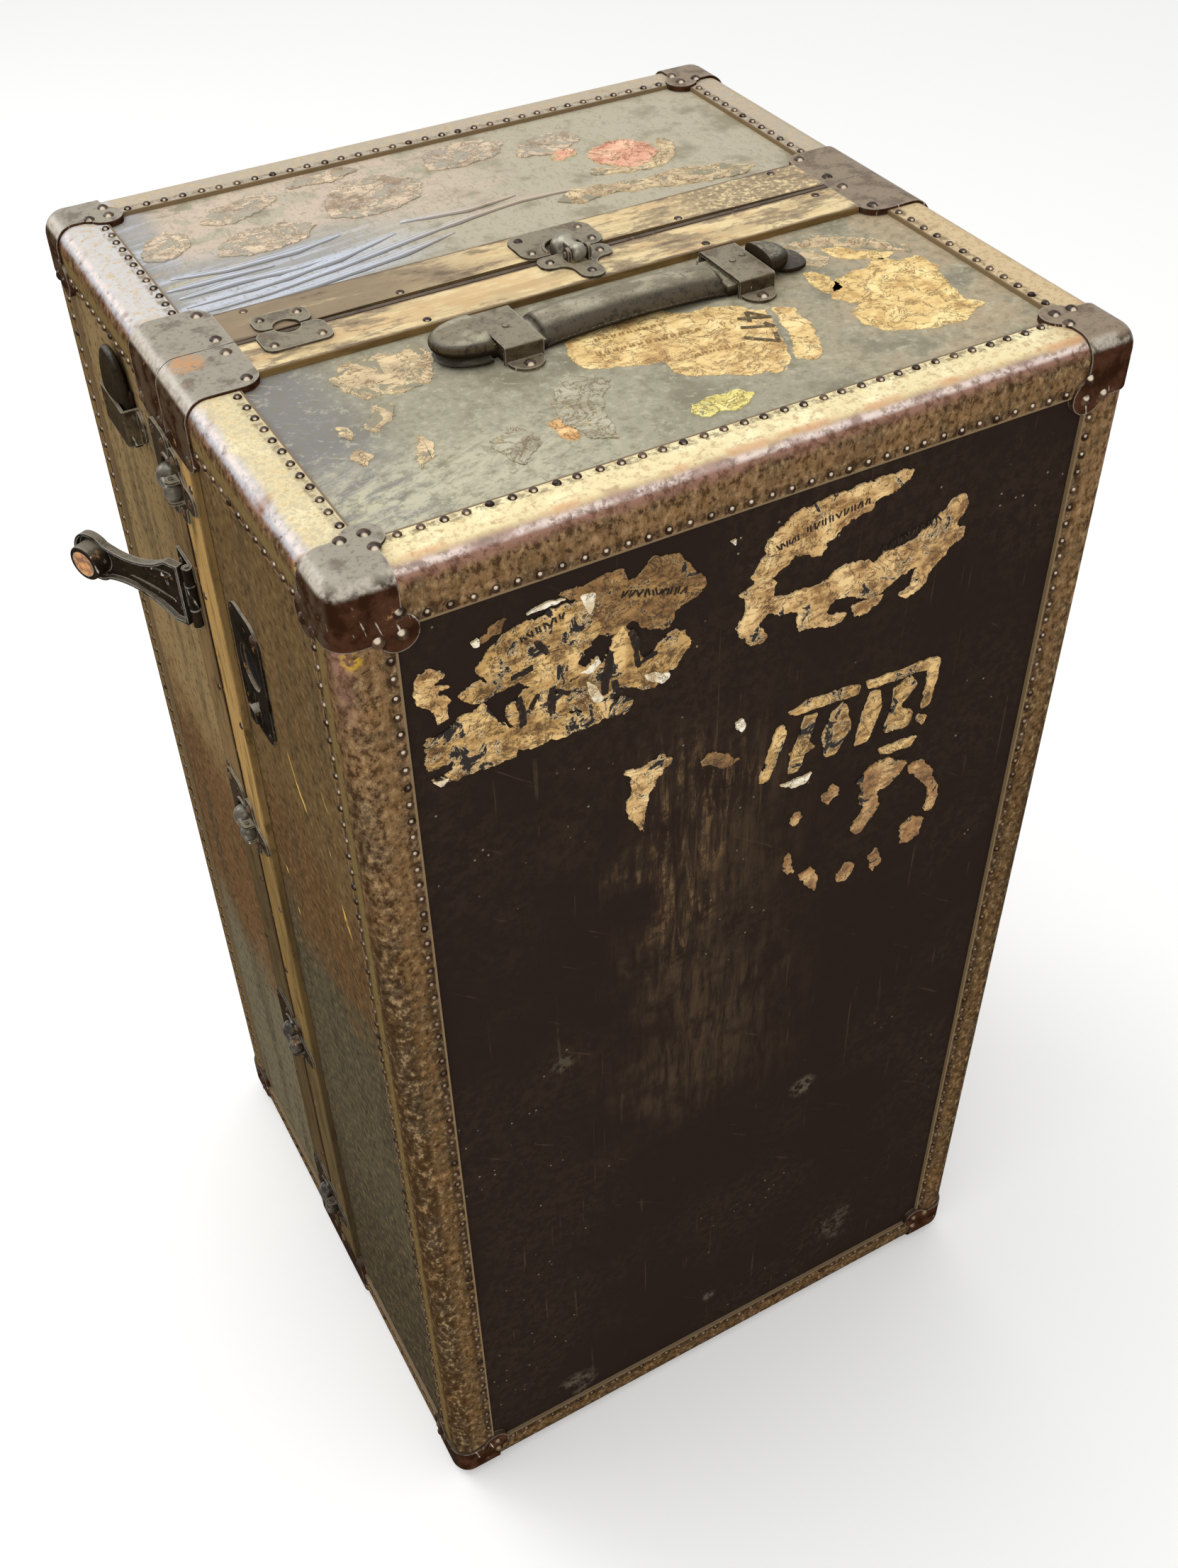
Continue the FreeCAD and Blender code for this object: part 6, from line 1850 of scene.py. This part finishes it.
@dataclass
class TopHandle:
    """The leather handle: a stitched padded grip, its strap, a padded left end and a worn right end."""

    shop: Workshop
    lift: float = 0.4 * MM
    half_grip: float = 63.5 * MM
    half_width: float = 19.6 * MM
    thickness: float = 14.0 * MM
    arch: float = 3.0 * MM
    steps: int = 14
    section: Outline = (
        (0.0, 1.0), (0.30, 0.94), (0.57, 0.77), (0.80, 0.52), (0.92, 0.32), (0.95, 0.24),
        (1.0, 0.20), (1.0, 0.07), (0.90, 0.02), (0.55, 0.05), (0.0, 0.10),
    )
    strap_half_width: float = 20.5 * MM
    strap_thickness: float = 7.4 * MM
    strap_end: float = 98.0 * MM
    neck_half_width: float = 14.0 * MM
    neck_start: float = 96.0 * MM
    neck_end: float = 108.0 * MM
    neck_rise: float = 2.0 * MM
    neck_edge: float = 2.4 * MM
    draws: Outline = ((0.8 * MM, 0.85), (2.0 * MM, 0.75), (10.0 * MM, 1.0))
    draw_floor: float = 0.4
    left_end: float = -103.5 * MM
    left_size: Spot = (33.0 * MM, 43.5 * MM, 15.0 * MM)
    sole_thickness: float = 4.5 * MM
    sole_shares: Range = (0.93, 0.94)
    pad_sink: float = 0.5 * MM
    right_end: float = 102.0 * MM
    right_lift: float = 1.8 * MM
    right_size: Spot = (20.0 * MM, 33.0 * MM, 16.0 * MM)
    tab_start: float = 8.0 * MM
    tab_reach: float = 34.0 * MM
    tab_corner: float = 12.0 * MM
    tab_half_width: float = 15.0 * MM
    tab_thickness: float = 3.0 * MM
    stitch_pitch: float = 4.4 * MM
    stitch_size: Spot = (1.5 * MM, 0.45 * MM, 0.45 * MM)
    seam_height: float = 0.21
    seam_share: float = 0.965

    @property
    def place(self) -> Matrix:
        """Where the middle of the handle stands on the canvas."""
        low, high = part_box("left_handle_loop")[0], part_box("right_handle_loop")[1]
        return Matrix.Translation(((low.x + high.x) / 2, (low.y + high.y) / 2, low.z))

    @property
    def radius(self) -> float:
        """The radius of the grip's arch."""
        return (self.half_grip ** 2 + self.arch ** 2) / (2 * self.arch)

    @property
    def centre(self) -> Vector:
        """The centre of the grip's arch."""
        return Vector((0, 0, self.lift + self.arch - self.radius))

    def dress(self, mesh: bmesh.types.BMesh, name: str, levels: int = 0) -> bpy.types.Object:
        """Put a mesh of the handle in its place and make it a piece."""
        bmesh.ops.transform(mesh, matrix=self.place, verts=mesh.verts[:])
        smooth(mesh)
        made = self.shop.piece(name, mesh, Finish.LEATHER, "top_handle", "handle_leather")
        if levels:
            rounded(made, levels)
        return made

    def build(self) -> None:
        """Make the grip, the strap, both ends, the tab and the stitches."""
        grip = self.dress(closed(self.grip()), "handle_grip", 2)
        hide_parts("top_handle")
        self.dress(self.strap(), "handle_strap")
        self.dress(self.left(), "handle_left_end")
        self.dress(self.right(), "handle_right_end")
        self.dress(self.stitches(), "handle_stitches")

    def grip(self) -> bmesh.types.BMesh:
        """Spin the grip's section along its arch and draw both ends down into the loops."""
        mesh = bmesh.new()
        outline = list(self.section) + [(-y, z) for y, z in reversed(self.section[1:-1])]
        base = self.lift + self.arch
        ring = [mesh.verts.new((0, y * self.half_width, base + z * self.thickness)) for y, z in outline]
        for first, second in zip(ring, ring[1:] + ring[:1]):
            mesh.edges.new((first, second))
        half_turn = math.asin(self.half_grip / self.radius)
        bmesh.ops.rotate(mesh, cent=self.centre, matrix=Matrix.Rotation(-half_turn, 3, "Y"),
                         verts=mesh.verts[:])
        start = mesh.edges[:]
        spun = bmesh.ops.spin(mesh, geom=mesh.verts[:] + mesh.edges[:], cent=self.centre, axis=(0, 1, 0),
                              dvec=(0, 0, 0), angle=2 * half_turn, steps=self.steps)
        last = [item for item in spun["geom_last"] if isinstance(item, bmesh.types.BMEdge)]
        for edges, side in ((start, -1), (last, 1)):
            for reach, height in self.draws:
                edges = self.drawn_out(mesh, edges, side * reach, height)
            bmesh.ops.edgeloop_fill(mesh, edges=edges)
        return mesh

    def drawn_out(self, mesh: bmesh.types.BMesh, edges: list[bmesh.types.BMEdge], reach: float,
                  height: float) -> list[bmesh.types.BMEdge]:
        """Extrude an end ring outwards and press it flatter.

        Args:
            mesh: the grip.
            edges: the ring.
            reach: how far it is moved along X.
            height: the share of its height that is left.

        Returns:
            The new ring's edges.
        """
        drawn = bmesh.ops.extrude_edge_only(mesh, edges=edges)["geom"]
        points = [item for item in drawn if isinstance(item, bmesh.types.BMVert)]
        floor = min(point.co.z for point in points)
        for point in points:
            point.co.z = self.lift + (point.co.z - floor) * height + (floor - self.lift) * self.draw_floor
            point.co.x += reach
        return [item for item in drawn if isinstance(item, bmesh.types.BMEdge)
                and all(vertex in points for vertex in item.verts)]

    def strap(self) -> bmesh.types.BMesh:
        """Make the strap that runs through both loops, with a narrow neck at each end."""
        mesh = bmesh.new()
        top = self.lift + self.strap_thickness
        for side in (-1, 1):
            for start, end, half_width, rise, edge in (
                    (self.half_grip + 2 * MM, self.strap_end, self.strap_half_width, 0.0, 2 * MM),
                    (self.neck_start, self.neck_end, self.neck_half_width, self.neck_rise, self.neck_edge)):
                inner, outer = sorted((side * start, side * end))
                low = Vector((inner, -half_width, self.lift))
                high = Vector((outer, half_width, top + rise))
                join(mesh, slab(low, high, 2 * MM, edge))
        return mesh

    def left(self) -> bmesh.types.BMesh:
        """Make the padded left end on its sole."""
        length, width, thickness = self.left_size
        mesh = bmesh.new()
        sole = padded_end(length * self.sole_shares[0], width * self.sole_shares[1], self.sole_thickness)
        join(mesh, sole, Matrix.Translation((self.left_end, 0, self.lift)))
        pad = Matrix.Translation((self.left_end, 0, self.lift + self.sole_thickness - self.pad_sink))
        join(mesh, padded_end(length, width, thickness), pad)
        return mesh

    def right(self) -> bmesh.types.BMesh:
        """Make the small worn right end and its flat tab."""
        mesh = bmesh.new()
        turn = Matrix.Translation((self.right_end, 0, self.right_lift)) @ Matrix.Rotation(math.pi, 4, "Z")
        join(mesh, padded_end(*self.right_size), turn)
        low = Vector((self.right_end + self.tab_start, -self.tab_half_width, self.right_lift))
        high = Vector((self.right_end + self.tab_reach, self.tab_half_width,
                       self.right_lift + self.tab_thickness))
        join(mesh, slab(low, high, self.tab_corner, 1 * MM))
        return mesh

    def stitches(self) -> bmesh.types.BMesh:
        """Make the stitches of both seams, lying along the arch."""
        mesh = bmesh.new()
        half_turn = math.asin(self.half_grip / self.radius)
        count = round(2 * self.half_grip / self.stitch_pitch)
        crown = Vector((0, 0, self.lift + self.arch + self.seam_height * self.thickness))
        for side in (-1, 1):
            for index in range(1, count):
                turn = Matrix.Rotation(half_turn * (2 * index / count - 1), 4, "Y")
                spot = self.centre + turn @ (crown - self.centre)
                spot.y = side * self.seam_share * self.half_width
                dome(mesh, Matrix.Translation(spot) @ turn, self.stitch_size, 6, 4)
        return mesh


@dataclass
class LoopStuds:
    """The small studs on the top plates of the handle's two loops."""

    shop: Workshop
    radius: float = 2.4 * MM
    height: float = 1.3 * MM
    spots: tuple[tuple[str, float, float], ...] = (
        ("left_handle_loop", 0.0, 0.0), ("right_handle_loop", -2.0 * MM, 2.0 * MM),
        ("right_handle_loop", 8.0 * MM, 6.0 * MM),
    )

    def build(self) -> None:
        """Make the studs."""
        mesh = bmesh.new()
        for node, x, y in self.spots:
            low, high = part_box(node)
            place = Matrix.Translation(((low.x + high.x) / 2 + x, (low.y + high.y) / 2 + y, high.z))
            dome(mesh, place, (self.radius, self.radius, self.height), 12, 8)
        smooth(mesh)
        self.shop.piece("loop_studs", mesh, Finish.HARDWARE, "base", "hardware_steel")


@dataclass
class SideHandleStub:
    """What is left of the torn side handle: a stub of strap and its padded end, in the loop on the lid."""

    shop: Workshop
    half_width: float = 20.5 * MM
    thickness: float = 7.4 * MM
    lift: float = 0.4 * MM
    end_start: float = 17.5 * MM
    torn_end: float = -18.5 * MM
    overlap: float = 6.0 * MM
    rounding: float = 2.0 * MM
    end_size: Spot = (33.0 * MM, 43.5 * MM, 12.6 * MM)

    def build(self) -> None:
        """Make the stub, its X turned up along the lid's left face."""
        high = Vector((self.end_start + self.overlap, self.half_width, self.lift + self.thickness))
        mesh = slab(Vector((self.torn_end, -self.half_width, self.lift)), high, self.rounding, self.rounding)
        turn = Matrix.Translation((self.end_start, 0, self.lift)) @ Matrix.Rotation(math.pi, 4, "Z")
        join(mesh, padded_end(*self.end_size), turn)
        low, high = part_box("side_handle_loop")
        axes = Matrix(((0, 0, -1, 0), (0, 1, 0, 0), (1, 0, 0, 0), (0, 0, 0, 1)))
        place = Matrix.Translation((high.x, (low.y + high.y) / 2, (low.z + high.z) / 2)) @ axes
        bmesh.ops.transform(mesh, matrix=place, verts=mesh.verts[:])
        closed(mesh)
        smooth(mesh)
        made = self.shop.piece("side_handle_leather", mesh, Finish.LEATHER, "lid", "handle_leather")
        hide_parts("side_handle_stub")


@dataclass
class HaspRibs:
    """The two pressed ribs on the hollow side of the hasp, spreading towards its hinge."""

    shop: Workshop
    open_angle: float = math.radians(153)
    start: float = 18.0 * MM
    length: float = 44.0 * MM
    spread: float = 8.5 * MM
    lean: float = math.radians(7)
    radius: float = 3.4 * MM
    height: float = 2.2 * MM

    def build(self) -> None:
        """Make the ribs, in the hasp's open position."""
        place = Matrix.Translation(middle("hasp_pin")) @ Matrix.Rotation(-self.open_angle, 4, "Z")
        mesh = bmesh.new()
        for side in (-1, 1):
            spot = Matrix.Translation((0, -self.start - self.length / 2, side * self.spread))
            turn = Matrix.Rotation(side * self.lean, 4, "X")
            dome(mesh, place @ spot @ turn, (self.height, self.length / 2, self.radius), 16, 12)
        smooth(mesh)
        self.shop.piece("hasp_ribs", mesh, Finish.HASP, "hasp", "hardware_steel")


def main() -> None:
    """Build the scene in order: camera, studio, CAD nodes, then the pieces made here."""
    logging.basicConfig(level=logging.INFO, format="%(message)s")
    bpy.context.scene.view_settings.view_transform = "Standard"
    noise.seed_set(NOISE_SEED)
    shop = Workshop(Planes.measured())
    PhotoCamera().build()
    Studio().build()
    for assembly in (CadDress(shop), TackRows(shop), SlatNails(shop), PaperScraps(shop), PrintMarks(shop),
                     LidFolds(shop), TopHandle(shop), LoopStuds(shop), SideHandleStub(shop), HaspRibs(shop)):
        assembly.build()


if __name__ == "__main__":
    main()
